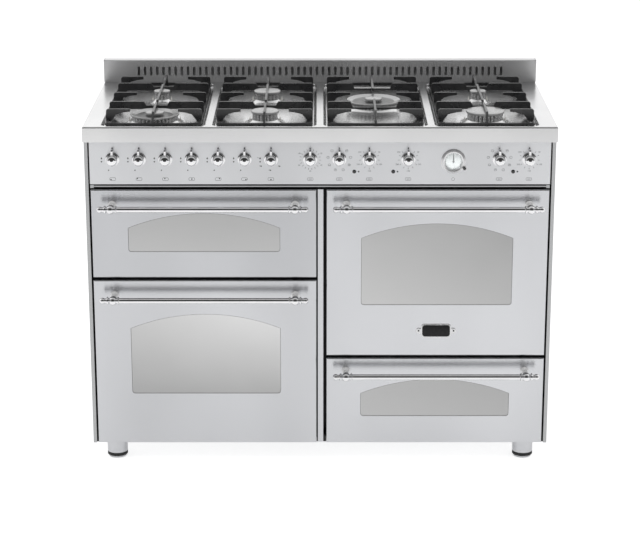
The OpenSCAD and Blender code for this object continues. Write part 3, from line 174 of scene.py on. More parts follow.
class Look(Graph):
    """The graph of a new material: one shader, and ways to vary it over the Object coordinates."""

    NOISE_LOW, NOISE_HIGH = 0.3, 0.7

    def __init__(self, material, colour, metallic, roughness):
        super().__init__(material.node_tree)
        shader = self.add("ShaderNodeBsdfPrincipled")
        self.inputs = shader.inputs
        filled(shader, {"Base Color": (*colour, 1), "Metallic": metallic, "Roughness": roughness})
        self.join(shader.outputs[0], self.add("ShaderNodeOutputMaterial").inputs[0])
        self.coords = self.add("ShaderNodeTexCoord").outputs["Object"]

    def mapped(self, scale, place=(0, 0, 0)):
        node = self.add("ShaderNodeMapping")
        filled(node, {"Location": place, "Scale": scale})
        self.join(self.coords, node.inputs[0])
        return node.outputs[0]

    def noise(self, scale, detail=2.0, rough=0.5, coords=None):
        node = self.add("ShaderNodeTexNoise")
        filled(node, {"Scale": scale, "Detail": detail, "Roughness": rough})
        self.join(self.coords if coords is None else coords, node.inputs["Vector"])
        return node.outputs["Fac"]

    def tinted(self, source, dark, light):
        """Lets the colour follow the source between two tones."""
        tones = self.ramp(source, [(self.NOISE_LOW, dark), (self.NOISE_HIGH, light)])
        self.join(tones, self.inputs["Base Color"])

    def mottled(self, scale, detail, dark, light):
        """Lets the colour wander between two tones."""
        self.tinted(self.noise(scale, detail), dark, light)

    def roughened(self, source, low, high):
        """Lets the roughness follow the source between two values."""
        node = self.add("ShaderNodeMapRange")
        filled(node, {"From Min": self.NOISE_LOW, "From Max": self.NOISE_HIGH, "To Min": low, "To Max": high})
        self.join(source, node.inputs[0])
        self.join(node.outputs[0], self.inputs["Roughness"])

    def bumped(self, source, distance):
        node = self.add("ShaderNodeBump")
        filled(node, {"Strength": 1.0, "Distance": distance})
        self.join(source, node.inputs["Height"])
        self.join(node.outputs[0], self.inputs["Normal"])


def finish(name, colour, metallic, roughness):
    """A new material and its look. A grey is given as one number."""
    material = bpy.data.materials.new(name)
    material.use_nodes = True
    colour = colour if isinstance(colour, tuple) else (colour,) * 3
    return material, Look(material, colour, metallic, roughness)


def uneven(name, tone, metallic, roughness, scale, detail, dark, light):
    """A new material whose colour wanders between two tones."""
    material, look = finish(name, tone, metallic, roughness)
    look.mottled(scale, detail, dark, light)
    return material


ACROSS_LINES, ALONG_LINES, LINE_DEPTH = 2400.0, 9.0, 0.000001


def brushed(name, tone, roughness, along, metallic=1.0):
    """Sheet steel with the fine lines of the belt that ground it; along is the axis of the lines."""
    material, look = finish(name, tone, metallic, roughness)
    scale = [ACROSS_LINES] * 3
    scale["XYZ".index(along)] = ALONG_LINES
    lines = look.noise(1.0, coords=look.mapped(scale))
    bands = look.noise(1.0, 1.5, coords=look.mapped((3.0, 3.0, 1.3)))
    look.roughened(lines, roughness - 0.02, roughness + 0.03)
    dark, light = (tuple(min(c * share, 1) for c in tone) for share in (0.89, 1.06))
    look.tinted(bands, dark, light)
    look.bumped(lines, LINE_DEPTH)
    look.inputs["Anisotropic"].default_value = 0.6
    look.inputs["Anisotropic Rotation"].default_value = 0.25
    grain = look.add("ShaderNodeCombineXYZ")
    for axis in range(3):
        grain.inputs[axis].default_value = 1.0 if "XYZ"[axis] == along else 0.02
    look.join(grain.outputs[0], look.inputs["Tangent"])
    return material


def dress(material, *nodes):
    """Gives CAD nodes their finished material."""
    for node in nodes:
        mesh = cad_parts[node].data
        mesh.materials.clear()
        mesh.materials.append(material)
        mesh.polygons.foreach_set("material_index", [0] * len(mesh.polygons))


front_steel = brushed("front_steel", (0.645, 0.652, 0.672), 0.20, "X")
side_steel = brushed("side_steel", (0.47, 0.475, 0.48), 0.24, "Y")
plain_sheet, look = finish("plain_sheet", (0.50, 0.51, 0.52), 1.0, 0.38)
spangle = look.add("ShaderNodeTexVoronoi")
spangle.inputs["Scale"].default_value = 170
look.join(look.coords, spangle.inputs["Vector"])
look.roughened(spangle.outputs["Distance"], 0.34, 0.42)
look.tinted(spangle.outputs["Distance"], (0.485, 0.495, 0.505), (0.535, 0.545, 0.555))
dress(side_steel, "side_panel_left", "side_panel_right")
dress(plain_sheet, "base_frame", "back_panel", "drawer_runners", "drawer_box")
# Near-black painted shade: it goes on the front frame and the front of the floor tray, where the gaps round
# the doors, the drawer and the panel lie in shade.
painted_gap_shade = uneven(
    "painted_gap_shade", (0.012, 0.012, 0.013), 0.0, 0.5, 300, 2.0, (0.009, 0.009, 0.010), (0.018, 0.018, 0.019)
)
dress(painted_gap_shade, "front_frame")
tray_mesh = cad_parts["base_frame"].data
tray_mesh.materials.append(painted_gap_shade)
# The floor tray's front, up to this depth, is painted shade under the doors.
TRAY_SHADE_FRONT = 50
for face in tray_mesh.polygons:
    if face.center.y < depth(TRAY_SHADE_FRONT):
        face.material_index = 1
frame_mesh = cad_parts["front_frame"].data
frame_mesh.materials.append(front_steel)
frame_mesh.materials.append(plain_sheet)
POST_X, POST_HALF, POST_TOP = 0.0015, 0.0073, 0.7505
RAIL_Z, RAIL_HALF, FRAME_FRONT = 0.757, 0.0045, 0.0435
# The front frame is painted shade, except the post's front (front steel) and the rail's front edge (plain
# sheet).
for face in frame_mesh.polygons:
    forward, side, height = face.center.y - depth(0), abs(face.center.x - POST_X), face.center.z
    if forward < FRAME_FRONT and side < POST_HALF and height < POST_TOP:
        face.material_index = 1
    elif forward < FRAME_FRONT and abs(height - RAIL_Z) < RAIL_HALF and face.normal.y < -0.5:
        face.material_index = 2

# The screws of the back sheet: stainless pan heads on washers, driven from behind into the folded rims
# of the carcase, seven up each side and five across at the top and the bottom.
def held(name, data):
    """A new object in the scene."""
    holder = bpy.data.objects.new(name, data)
    scene.collection.objects.link(holder)
    return holder


def plain_piece(name, mesh, material, body, *replaced):
    """Links a finished mesh as a piece that rides on a body."""
    mesh.name = name
    mesh.materials.clear()
    mesh.materials.append(material)
    mesh.polygons.foreach_set("material_index", [0] * len(mesh.polygons))
    piece = held(name, mesh)
    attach(piece, body)
    if replaced:
        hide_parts(*replaced)
    return piece


def smoothed(mesh, angle=32):
    """Points the faces outwards and shades them smooth, except over edges sharper than the angle."""
    work = bmesh.new()
    work.from_mesh(mesh)
    bmesh.ops.remove_doubles(work, verts=work.verts, dist=1e-6)
    bmesh.ops.recalc_face_normals(work, faces=work.faces)
    work.to_mesh(mesh)
    work.free()
    mesh.polygons.foreach_set("use_smooth", [True] * len(mesh.polygons))
    mesh.set_sharp_from_angle(angle=math.radians(angle))
    return mesh


def joined(meshes):
    """One mesh out of several."""
    work = bmesh.new()
    for mesh in meshes:
        work.from_mesh(mesh)
    whole = bpy.data.meshes.new("joined")
    work.to_mesh(whole)
    work.free()
    return whole


def mesh_from(holder):
    """The mesh a holder comes out as, with its modifiers; the holder is then removed."""
    made = bpy.data.meshes.new_from_object(holder.evaluated_get(bpy.context.evaluated_depsgraph_get()))
    bpy.data.objects.remove(holder)
    return made


def from_tree(tree, values):
    """The mesh that a geometry tree makes with these inputs."""
    holder = held("holder", bpy.data.meshes.new("holder"))
    modifier = holder.modifiers.new("tree", "NODES")
    modifier.node_group = tree
    for item in tree.interface.items_tree:
        if item.in_out == "INPUT" and item.name in values:
            modifier[item.identifier] = values[item.name]
    return mesh_from(holder)


def tree_with(name, **kinds):
    """A new geometry tree with these inputs, its graph and its input node."""
    tree = bpy.data.node_groups.new(name, "GeometryNodeTree")
    tree.interface.new_socket("Geometry", in_out="INPUT", socket_type="NodeSocketGeometry")
    for label, kind in kinds.items():
        tree.interface.new_socket(label, in_out="INPUT", socket_type="NodeSocket" + kind)
    tree.interface.new_socket("Material", in_out="INPUT", socket_type="NodeSocketMaterial")
    tree.interface.new_socket("Geometry", in_out="OUTPUT", socket_type="NodeSocketGeometry")
    graph = Graph(tree)
    return tree, graph, graph.add("NodeGroupInput")


def row_of_points(graph, inlet):
    """Points in a row: the inputs Count, Start and Step."""
    row = graph.add("GeometryNodeMeshLine", mode="OFFSET")
    graph.join(inlet.outputs["Count"], row.inputs["Count"])
    graph.join(inlet.outputs["Start"], row.inputs["Start Location"])
    graph.join(inlet.outputs["Step"], row.inputs["Offset"])
    return row.outputs[0]


def repeated(graph, inlet, points, shape, turn):
    """Ends a tree: the shape on every point, turned, made real and given the tree's material."""
    placed = graph.add("GeometryNodeInstanceOnPoints")
    graph.join(points, placed.inputs["Points"])
    graph.join(shape, placed.inputs["Instance"])
    if isinstance(turn, tuple):
        placed.inputs["Rotation"].default_value = turn
    else:
        graph.join(turn, placed.inputs["Rotation"])
    real = graph.add("GeometryNodeRealizeInstances")
    graph.join(placed.outputs[0], real.inputs[0])
    painted = graph.add("GeometryNodeSetMaterial")
    graph.join(real.outputs[0], painted.inputs["Geometry"])
    graph.join(inlet.outputs["Material"], painted.inputs["Material"])
    graph.join(painted.outputs[0], graph.add("NodeGroupOutput").inputs[0])


# Radius below and above, height and lift of the two turned parts of a screw's head.
WASHER = (0.0062, 0.0060, 0.0006, 0.0)
PAN_HEAD = (0.0042, 0.0034, 0.0018, 0.0006)
screw_tree, screws, inlet = tree_with("screws_in_a_row", Count="Int", Start="Vector", Step="Vector")
stack = screws.add("GeometryNodeJoinGeometry")
for low_r, high_r, tall, lift in (WASHER, PAN_HEAD):
    head = screws.add("GeometryNodeMeshCone")
    filled(head, {"Vertices": 24, "Radius Bottom": low_r, "Radius Top": high_r, "Depth": tall})
    raised = screws.add("GeometryNodeTransform")
    raised.inputs["Translation"].default_value = (0, 0, lift)
    screws.join(head.outputs[0], raised.inputs["Geometry"])
    screws.join(raised.outputs[0], stack.inputs[0])
repeated(screws, inlet, row_of_points(screws, inlet), stack.outputs[0], (math.radians(-90), 0, 0))
BACK_SKIN = depth(561.2)
screw_rows = []
for x in (-0.585, 0.585):
    upright = {"Count": 7, "Start": (x, BACK_SKIN, 0.10), "Step": (0, 0, 0.123), "Material": side_steel}
    screw_rows.append(from_tree(screw_tree, upright))
for z in (0.074, 0.858):
    level = {"Count": 5, "Start": (-0.44, BACK_SKIN, z), "Step": (0.22, 0, 0), "Material": side_steel}
    screw_rows.append(from_tree(screw_tree, level))
plain_piece("back_screws", smoothed(joined(screw_rows), 40), side_steel, "root")

# The tabs: angles folded from sheet, spot-welded to the floor tray, near-black as painted shade. They close
# the gaps beside and between the doors at their lower ends, where the gaps lie in shade.
def mesh_of(points, faces):
    mesh = bpy.data.meshes.new("mesh")
    mesh.from_pydata([tuple(p) for p in points], [], faces)
    return mesh


def walled(rows, capped=True):
    """Rows of points joined by walls: capped at both ends, or going round from the last to the first."""
    count, last = len(rows[0]), len(rows) - 1
    faces = []
    for r in range(last if capped else len(rows)):
        a, b = r * count, (r + 1) % len(rows) * count
        faces += [(a + i, a + (i + 1) % count, b + (i + 1) % count, b + i) for i in range(count)]
    if capped:
        faces += [tuple(range(count)), tuple(range(last * count, len(rows) * count))]
    return mesh_of([p for row in rows for p in row], faces)


TAB_FOLD = [(8, 61.2), (43, 61.2), (43, 62.4), (9.8, 62.4), (9.2, 63), (9.2, 80), (8, 80)]
tabs = []
for edges in ((-588, -584.4), (-8.6, -5.5), (8.5, 16.1), (584.4, 588)):
    tabs.append(walled([[(x / 1000, depth(u), z / 1000) for u, z in TAB_FOLD] for x in edges]))
plain_piece("gap_tabs", smoothed(joined(tabs)), painted_gap_shade, "root")

# The hob: one sheet of stainless steel, pressed into four wells with rounded shoulders and folded down
# at its edges into a lip; it lies on the side panels and is fixed from below.
def round_loop(half_w, front, rear, radius, z, centre_x=0.0, steps=6):
    """Corner points of a rounded rectangle, in millimetres, from the front left corner round."""
    loop = []
    radius = max(radius, 0.2)
    across, near, deep = half_w - radius, front + radius, rear - radius
    for x, u, start in ((-across, near, 180), (across, near, 270), (across, deep, 0), (-across, deep, 90)):
        for k in range(steps + 1):
            a = math.radians(start + 90 * k / steps)
            side, back = centre_x + x + radius * math.cos(a), depth(u + radius * math.sin(a))
            loop.append(Vector((side / 1000, back, z / 1000)))
    return loop


def lofted(work, loops):
    """Rows of vertices joined with quads; returns the first and the last row."""
    rows = [[work.verts.new(p) for p in loop] for loop in loops]
    for low, high in zip(rows, rows[1:]):
        for i in range(len(low)):
            j = (i + 1) % len(low)
            work.faces.new((low[i], low[j], high[j], high[i]))
    return rows[0], rows[-1]


def loop_edges(work, row):
    return [work.edges.get((row[i], row[(i + 1) % len(row)])) for i in range(len(row))]


HOB_HALF, HOB_FRONT, HOB_REAR, HOB_TOP, LIP_LOW, LIP_BEND = 600.0, -10.0, 590.0, 915.0, 875.0, 4
WELL_X = (-422.25, -140.75, 140.75, 422.25)
WELL_HALF, WELL_FRONT, WELL_REAR, WELL_CORNER = 129.75, 4, 530, 14
SHOULDER, WELL_FOOT = 3, 5
turns = [math.radians(b) for b in range(0, 91, 18)]
work = bmesh.new()
outer = [round_loop(HOB_HALF, HOB_FRONT, HOB_REAR, LIP_BEND, LIP_LOW)]
for a in turns:
    inset = LIP_BEND * (1 - math.cos(a))
    z = HOB_TOP - LIP_BEND + LIP_BEND * math.sin(a)
    outer.append(round_loop(HOB_HALF - inset, HOB_FRONT + inset, HOB_REAR - inset, LIP_BEND - inset, z))
plate_edges = loop_edges(work, lofted(work, outer)[1])
drawing = [(-SHOULDER * (1 - math.sin(b)), HOB_TOP - SHOULDER * (1 - math.cos(b))) for b in turns]
well_z = HOB_TOP - WELL_FOOT
drawing += [(WELL_FOOT - WELL_FOOT * math.cos(b), well_z - WELL_FOOT * math.sin(b)) for b in turns]
for x in WELL_X:
    loops = []
    for inset, z in drawing:
        front, rear = WELL_FRONT + inset, WELL_REAR - inset
        loops.append(round_loop(WELL_HALF - inset, front, rear, WELL_CORNER - inset, z, x))
    first, last = lofted(work, loops)
    plate_edges += loop_edges(work, first)
    work.faces.new(last)
bmesh.ops.triangle_fill(work, use_beauty=True, edges=plate_edges)
hob_mesh = bpy.data.meshes.new("hob_sheet")
work.to_mesh(hob_mesh)
work.free()
smoothed(hob_mesh, 60)
hob_steel, look = finish("hob_steel", 0.72, 1.0, 0.24)
lines = look.noise(1.0, coords=look.mapped((9, 2200, 2200)))
smears = look.noise(5.0, 3.0)
look.roughened(lines, 0.22, 0.27)
look.tinted(smears, (0.68, 0.68, 0.685), 0.75)
look.bumped(lines, 0.000001)
hob_sheet = plain_piece("hob_sheet", hob_mesh, hob_steel, "root", "hob_top")
wall = hob_sheet.modifiers.new("sheet", "SOLIDIFY")
wall.thickness = 0.0013
wall.offset = -1
weights = hob_sheet.modifiers.new("shade", "WEIGHTED_NORMAL")
weights.keep_sharp = True

# The upstand: a folded hood with a row of punched upright slots and two end caps, screwed to the hob
# along the wall.
SLOTS, SLOT_STEP = 60, 0.01705
upstand_steel = brushed("upstand_steel", (0.74, 0.74, 0.745), 0.36, "X", 0.72)
dress(upstand_steel, "upstand")
rim_tree, rims, inlet = tree_with(
    "rims_of_a_row_of_slots", Count="Int", Step="Vector", Start="Vector",
    Width="Float", Height="Float", Rim="Float",
)
hole = rims.add("GeometryNodeCurvePrimitiveQuadrilateral", mode="RECTANGLE")
rims.join(inlet.outputs["Width"], hole.inputs["Width"])
rims.join(inlet.outputs["Height"], hole.inputs["Height"])
bend = rims.add("GeometryNodeFilletCurve")
if "Mode" in bend.inputs:
    bend.inputs["Mode"].default_value = "Poly"
else:
    bend.mode = "POLY"
bend.inputs["Count"].default_value = 6
rims.join(rims.sum_of("MULTIPLY", inlet.outputs["Width"], 0.499), bend.inputs["Radius"])
rims.join(hole.outputs[0], bend.inputs[0])
wire = rims.add("GeometryNodeCurvePrimitiveCircle", mode="RADIUS")
wire.inputs["Resolution"].default_value = 8
rims.join(inlet.outputs["Rim"], wire.inputs["Radius"])
rim = rims.add("GeometryNodeCurveToMesh")
rims.join(bend.outputs[0], rim.inputs["Curve"])
rims.join(wire.outputs[0], rim.inputs["Profile Curve"])
repeated(rims, inlet, row_of_points(rims, inlet), rim.outputs[0], (math.radians(90), 0, 0))
slot_rims = from_tree(rim_tree, {
    "Count": SLOTS,
    "Step": (SLOT_STEP, 0, 0),
    "Start": (-SLOT_STEP * (SLOTS - 1) / 2, depth(560), 0.94525),
    "Width": 0.0084,
    "Height": 0.0264,
    "Rim": 0.00045,
    "Material": upstand_steel,
})
plain_piece("slot_rims", smoothed(slot_rims, 60), upstand_steel, "root")

# The burners: die-cast aluminium cups and fluted heads under pressed caps, held by two screws through
# the wells; a ceramic spark pin and a flame sensor stand beside each head.
cast_metal, look = finish("cast_aluminium", 0.80, 0.8, 0.24)
grit = look.noise(2600, 2.0)
look.roughened(grit, 0.22, 0.27)
look.mottled(40, 3.0, 0.76, 0.86)
look.bumped(grit, 0.0000006)
cap_metal, look = finish("cap_enamel", 0.44, 0.5, 0.26)
grit = look.noise(2600, 2.0)
look.roughened(grit, 0.24, 0.29)
look.mottled(25, 3.0, 0.41, 0.48)
look.bumped(grit, 0.0000006)
BURNERS = [
    (0, 85, "front_ring"), (0, 340, "small"), (1, 90, "medium"), (1, 340, "medium"),
    (2, 255, "wok_ring"), (3, 90, "large"), (3, 340, "small"),
]
CAP_R = {"small": 21.75, "medium": 35.75, "large": 49.0, "front_ring": 23.5, "wok_ring": 22.5}
RING_R = {"front_ring": 62.5, "wok_ring": 70.5}
RING_HOLE = 33.0
FORWARD, UPWARD = Matrix.Rotation(math.radians(90), 4, "X"), Matrix.Identity(4)


def turned(drawing, place, steps=64, axis=UPWARD):
    """A turned solid: the drawing is a list of (radius, height) in millimetres, from pole to pole."""
    points, faces, rows = [], [], []
    angles = [i * 2 * math.pi / steps for i in range(steps)]
    for radius, height in drawing:
        radius, height = radius / 1000, height / 1000
        if radius < 1e-7:
            rows.append([len(points)])
            points.append((0, 0, height))
        else:
            rows.append(list(range(len(points), len(points) + steps)))
            points += [(radius * math.cos(a), radius * math.sin(a), height) for a in angles]
    for low, high in zip(rows, rows[1:]):
        for i in range(steps):
            j = (i + 1) % steps
            ring = [low[i % len(low)], low[j % len(low)], high[j % len(high)], high[i % len(high)]]
            ring = [p for k, p in enumerate(ring) if p not in ring[:k]]
            if len(ring) > 2:
                faces.append(ring)
    mesh = mesh_of(points, faces)
    mesh.transform(Matrix.Translation(place) @ axis)
    return mesh


def arc(centre, radius, start, end, count):
    """Points of an arc in a (radius, height) drawing, angles in degrees."""
    step = (end - start) / count
    angles = [math.radians(start + i * step) for i in range(count + 1)]
    return [(centre[0] + radius * math.cos(a), centre[1] + radius * math.sin(a)) for a in angles]


rib_tree, ribs, inlet = tree_with(
    "ribs_round_a_burner", Count="Int", Ring="Float", Rib="Float", Height="Float"
)
circle = ribs.add("GeometryNodeMeshCircle")
ribs.join(inlet.outputs["Count"], circle.inputs["Vertices"])
ribs.join(inlet.outputs["Ring"], circle.inputs["Radius"])
rib = ribs.add("GeometryNodeMeshCylinder", fill_type="NONE")
rib.inputs["Vertices"].default_value = 10
ribs.join(inlet.outputs["Rib"], rib.inputs["Radius"])
ribs.join(inlet.outputs["Height"], rib.inputs["Depth"])
repeated(ribs, inlet, circle.outputs[0], rib.outputs[0], (0, 0, 0))


def fluted(place, radius, low, high, count):
    """A burner head's flame wall: a sunk core, upright ribs round it and the flange under the cap."""
    core = turned([
        (8, low), (radius - 3.6, low), (radius - 4.6, low + 3), (radius - 5.6, low + 4),
        (radius - 5.6, high - 1.4), (radius - 0.9, high - 1.2), (radius - 0.7, high), (8, high), (8, low),
    ], place, 72)
    rib_r = min(math.pi * (radius - 2.2) / count * 0.80, 4.2)
    rib_low, rib_high = low + 2.5, high - 0.7
    wall = from_tree(rib_tree, {
        "Count": count,
        "Ring": (radius - 1.0 - rib_r) / 1000,
        "Rib": rib_r / 1000,
        "Height": (rib_high - rib_low) / 1000,
        "Material": cast_metal,
    })
    wall.transform(Matrix.Translation(place + Vector((0, 0, (rib_high + rib_low) / 2000))))
    return core, wall


RIB_COUNT = {"small": 12, "medium": 20, "large": 26, "front_ring": 34, "wok_ring": 38}
caps, cups, heads = [], [], []
for well, u, kind in BURNERS:
    place = Vector((WELL_X[well] / 1000, depth(u), 0))
    r, ring = CAP_R[kind], RING_R.get(kind)
    top = 935.0 if ring else 937.5
    heads.append(fluted(place, r - 2.6, 907.0, top - 7, 12 if ring else RIB_COUNT[kind]))
    if ring:
        heads.append(fluted(place, ring - 2.4, 907.0, 925.1, RIB_COUNT[kind]))
    cap = [(0, top - 7), (r - 1.2, top - 7), (r - 0.2, top - 6.2)]
    cap += arc((r - 2.2, top - 3.2), 2.2, -10, 70, 6)
    cap += [(r - 3.2, top - 0.75), (r * 0.55, top - 0.25), (0, top)]
    caps.append(turned(cap, place))
    if ring:
        bowl = [(RING_HOLE, 920.6), (ring - 9, 924.6), (ring - 1.2, 925.2), (ring - 0.2, 925.9)]
        bowl += arc((ring - 1.7, 928.3), 1.7, -10, 100, 8)
        bowl += [(ring - 4.2, 929.0), (ring - 9, 927.2), (ring - 16, 925.0)]
        bowl += [(RING_HOLE + 6, 922.9), (RING_HOLE + 1, 922.2)]
        bowl += arc((RING_HOLE + 0.8, 921.4), 0.8, 100, 180, 3) + [(RING_HOLE, 920.6)]
        caps.append(turned(bowl, place, 96))
smooth_caps = smoothed(joined(caps), 40)
plain_piece("burner_covers", smooth_caps, cap_metal, "root", "burner_caps")
cores, walls = zip(*heads)
crowns = smoothed(joined(walls), 40)
plain_piece("burner_crowns", crowns, cast_metal, "root", "burner_heads")
# The sunk cores behind the ribs are dark grey: painted shade in the flame slots between the ribs.
painted_slot_shade = uneven("painted_slot_shade", 0.16, 0.7, 0.40, 90, 3.0, 0.12, 0.22)
plain_piece("burner_cores", smoothed(joined(cores), 40), painted_slot_shade, "root")

ceramic, look = finish("ceramic", (0.82, 0.80, 0.76), 0.0, 0.28)
look.mottled(300, 2.0, (0.78, 0.76, 0.72), (0.86, 0.84, 0.80))
look.inputs["Coat Weight"].default_value = 0.4
PIN = [(0, 905.2), (1.8, 905.2), (1.8, 915.5), (1.3, 916.4), (0.75, 916.8)]
PIN += [(0.7, 920.2), (0.35, 920.9), (0, 921)]
pins = []
for well, u, kind in BURNERS:
    x, ring = WELL_X[well] / 1000, RING_R.get(kind)
    r = ring or CAP_R[kind]
    hollow = r - 9
    foot = r + (10.5 if kind == "front_ring" else 14.5)
    cup = [(hollow, 895), (r - 6.4, 895), (r - 6.4, 905.2), (foot - 0.4, 905.1)]
    cup += arc((foot - 0.5, 905.6), 0.5, -80, 60, 4)
    cup += [(foot - 0.7, 906.1), (r + 7.5, 907.6), (r + 3.2, 909.6), (r + 0.2, 911.9), (r - 1.7, 914.2)]
    cup += [(r - 2.7, 914.3), (r - 3.6, 912.5), (r - 6.0, 907.6), (hollow, 906.2), (hollow, 895)]
    cups.append(turned(cup, (x, depth(u), 0), 96))
    for side in (-1, 1):
        pins.append(turned(PIN, (x + side * (r + 2.8) / 1000, depth(u), 0), 16))
bowls = smoothed(joined(cups), 35)
plain_piece("burner_bowls", bowls, cast_metal, "root", "burner_cups")
plain_piece("spark_pins", smoothed(joined(pins), 35), ceramic, "root")

# The pan supports: cast-iron grates in black enamel, each a frame rod with upright bars cast in one
# piece; they stand loose in the wells on four feet.
cast_iron, look = finish("cast_iron", (0.020, 0.020, 0.021), 0.0, 0.30)
look.inputs["Specular IOR Level"].default_value = 0.75
pits = look.noise(420, 4.0, 0.6)
waves = look.noise(60, 2.0)
look.roughened(waves, 0.24, 0.38)
look.tinted(waves, (0.016, 0.016, 0.017), (0.030, 0.030, 0.031))
look.bumped(pits, 0.00012)
EDGE_ROUND = 0.0013


def rounded_copy(node):
    """A CAD node's shape as one mesh with its sharp edges rounded."""
    work = bmesh.new()
    work.from_mesh(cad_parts[node].data)
    bmesh.ops.remove_doubles(work, verts=work.verts, dist=2e-5)
    bmesh.ops.dissolve_limit(work, angle_limit=math.radians(0.6), verts=work.verts, edges=work.edges)
    mesh = bpy.data.meshes.new(node + "_edges")
    work.to_mesh(mesh)
    work.free()
    if "custom_normal" in mesh.attributes:
        mesh.attributes.remove(mesh.attributes["custom_normal"])
    holder = held(node + "_edges", mesh)
    bevel = holder.modifiers.new("edges", "BEVEL")
    bevel.width = EDGE_ROUND
    bevel.segments = 2
    bevel.limit_method = "ANGLE"
    bevel.angle_limit = math.radians(30)
    bevel.harden_normals = True
    return mesh_from(holder)


for name in ("left", "mid_left", "wok", "right"):
    node = "pan_support_" + name
    plain_piece("grate_" + name, rounded_copy(node), cast_iron, node, node)

# The control panel: a folded stainless front with punched holes, hung between the side panels. Its
# scales and signs are printed on it in grey and black.
panel_steel = brushed("panel_steel", (0.83, 0.838, 0.857), 0.32, "X", 0.85)
dress(panel_steel, "control_panel")
ink = uneven(
    "dark_ink", (0.035, 0.035, 0.04), 0.0, 0.45, 800, 2.0, (0.028, 0.028, 0.032), (0.05, 0.05, 0.055)
)
pale_ink = uneven("grey_ink", (0.15, 0.15, 0.16), 0.0, 0.5, 800, 2.0, (0.12, 0.12, 0.13), (0.18, 0.18, 0.19))
INK_T = 0.00008
KNOB_Z, LAMP_Z, SIGN_Z = 0.829, 0.797, 0.7775
LINE_T = 0.0008
MARK_R = 0.0290
GAS_X = [(-525.2 + i * 66.9) / 1000 for i in range(7)]
ELECTRIC = {
    "knob_timer": -24.7,
    "knob_selector_left": 48.9,
    "knob_thermostat_top_left": 124.9,
    "knob_thermostat_left": 223.5,
    "knob_selector_right": 454.4,
    "knob_thermostat_right": 529.8,
}
LAMP_X = (0.0869, 0.1856, 0.4894)


def printed(outline, x, z):
    """A thin printed patch on the panel's front: outline points are (across, up) from (x, z)."""
    front, back = depth(0) - INK_T, depth(0) + 0.00002
    count = len(outline)
    points = [(x + a, y, z + b) for y in (front, back) for a, b in outline]
    faces = [tuple(range(count)), tuple(range(2 * count - 1, count - 1, -1))]
    faces += [(i, i + count, (i + 1) % count + count, (i + 1) % count) for i in range(count)]
    return mesh_of(points, faces)


def dot(x, z, radius, steps=14):
    angles = [i * 2 * math.pi / steps for i in range(steps)]
    return printed([(radius * math.cos(a), radius * math.sin(a)) for a in angles], x, z)


def stroke(x, z, ax, az, bx, bz, width):
    """A printed line from (ax, az) to (bx, bz)."""
    along = Vector((bx - ax, bz - az)).normalized() * width / 2
    side = Vector((-along.y, along.x))
    corners = [(ax + side.x, az + side.y), (bx + side.x, bz + side.y)]
    corners += [(bx - side.x, bz - side.y), (ax - side.x, az - side.y)]
    return printed(corners, x, z)


def outlined(x, z, half_w, half_h, width):
    """A printed frame with cut corners."""
    w, h, cut = half_w, half_h, min(half_w, half_h) * 0.45
    ring = [(-w + cut, -h), (w - cut, -h), (w, -h + cut), (w, h - cut)]
    ring += [(w - cut, h), (-w + cut, h), (-w, h - cut), (-w, -h + cut)]
    return [stroke(x, z, *ring[i], *ring[(i + 1) % 8], width) for i in range(8)]


def lettered(word, x, z, size):
    """A printed number, centred on (x, z)."""
    curve = bpy.data.curves.new("number", "FONT")
    curve.body = word
    curve.size = size
    curve.align_x, curve.align_y = "CENTER", "CENTER"
    curve.extrude = INK_T / 2
    curve.resolution_u = 3
    mesh = mesh_from(held("number", curve))
    place = Matrix.Translation((x, depth(0) - INK_T / 2, z))
    mesh.transform(place @ Matrix.Rotation(math.radians(90), 4, "X"))
    return mesh


ring_tree, rings, inlet = tree_with(
    "marks_round_a_dial", Count="Int", Radius="Float", Start="Float", Step="Float", Size="Vector"
)
points = rings.add("GeometryNodePoints")
rings.join(inlet.outputs["Count"], points.inputs["Count"])
index = rings.add("GeometryNodeInputIndex").outputs[0]
turn = rings.sum_of("ADD", inlet.outputs["Start"], rings.sum_of("MULTIPLY", index, inlet.outputs["Step"]))
spot = rings.add("ShaderNodeCombineXYZ")
for axis, wave in ((0, "SINE"), (2, "COSINE")):
    reach = rings.sum_of("MULTIPLY", inlet.outputs["Radius"], rings.sum_of(wave, turn, 0.0))
    rings.join(reach, spot.inputs[axis])
rings.join(spot.outputs[0], points.inputs["Position"])
mark = rings.add("GeometryNodeMeshCube")
rings.join(inlet.outputs["Size"], mark.inputs["Size"])
lean = rings.add("ShaderNodeCombineXYZ")
rings.join(turn, lean.inputs[1])
repeated(rings, inlet, points.outputs[0], mark.outputs[0], lean.outputs[0])


def dial_marks(x, y, z, count, radius, start, sweep, size):
    """Marks on an arc round (x, z): angles in degrees clockwise from the top."""
    made = from_tree(ring_tree, {
        "Count": count,
        "Radius": radius,
        "Start": math.radians(start),
        "Step": math.radians(sweep / max(count - 1, 1)),
        "Size": size,
        "Material": pale_ink,
    })
    made.transform(Matrix.Translation((x, y, z)))
    return made


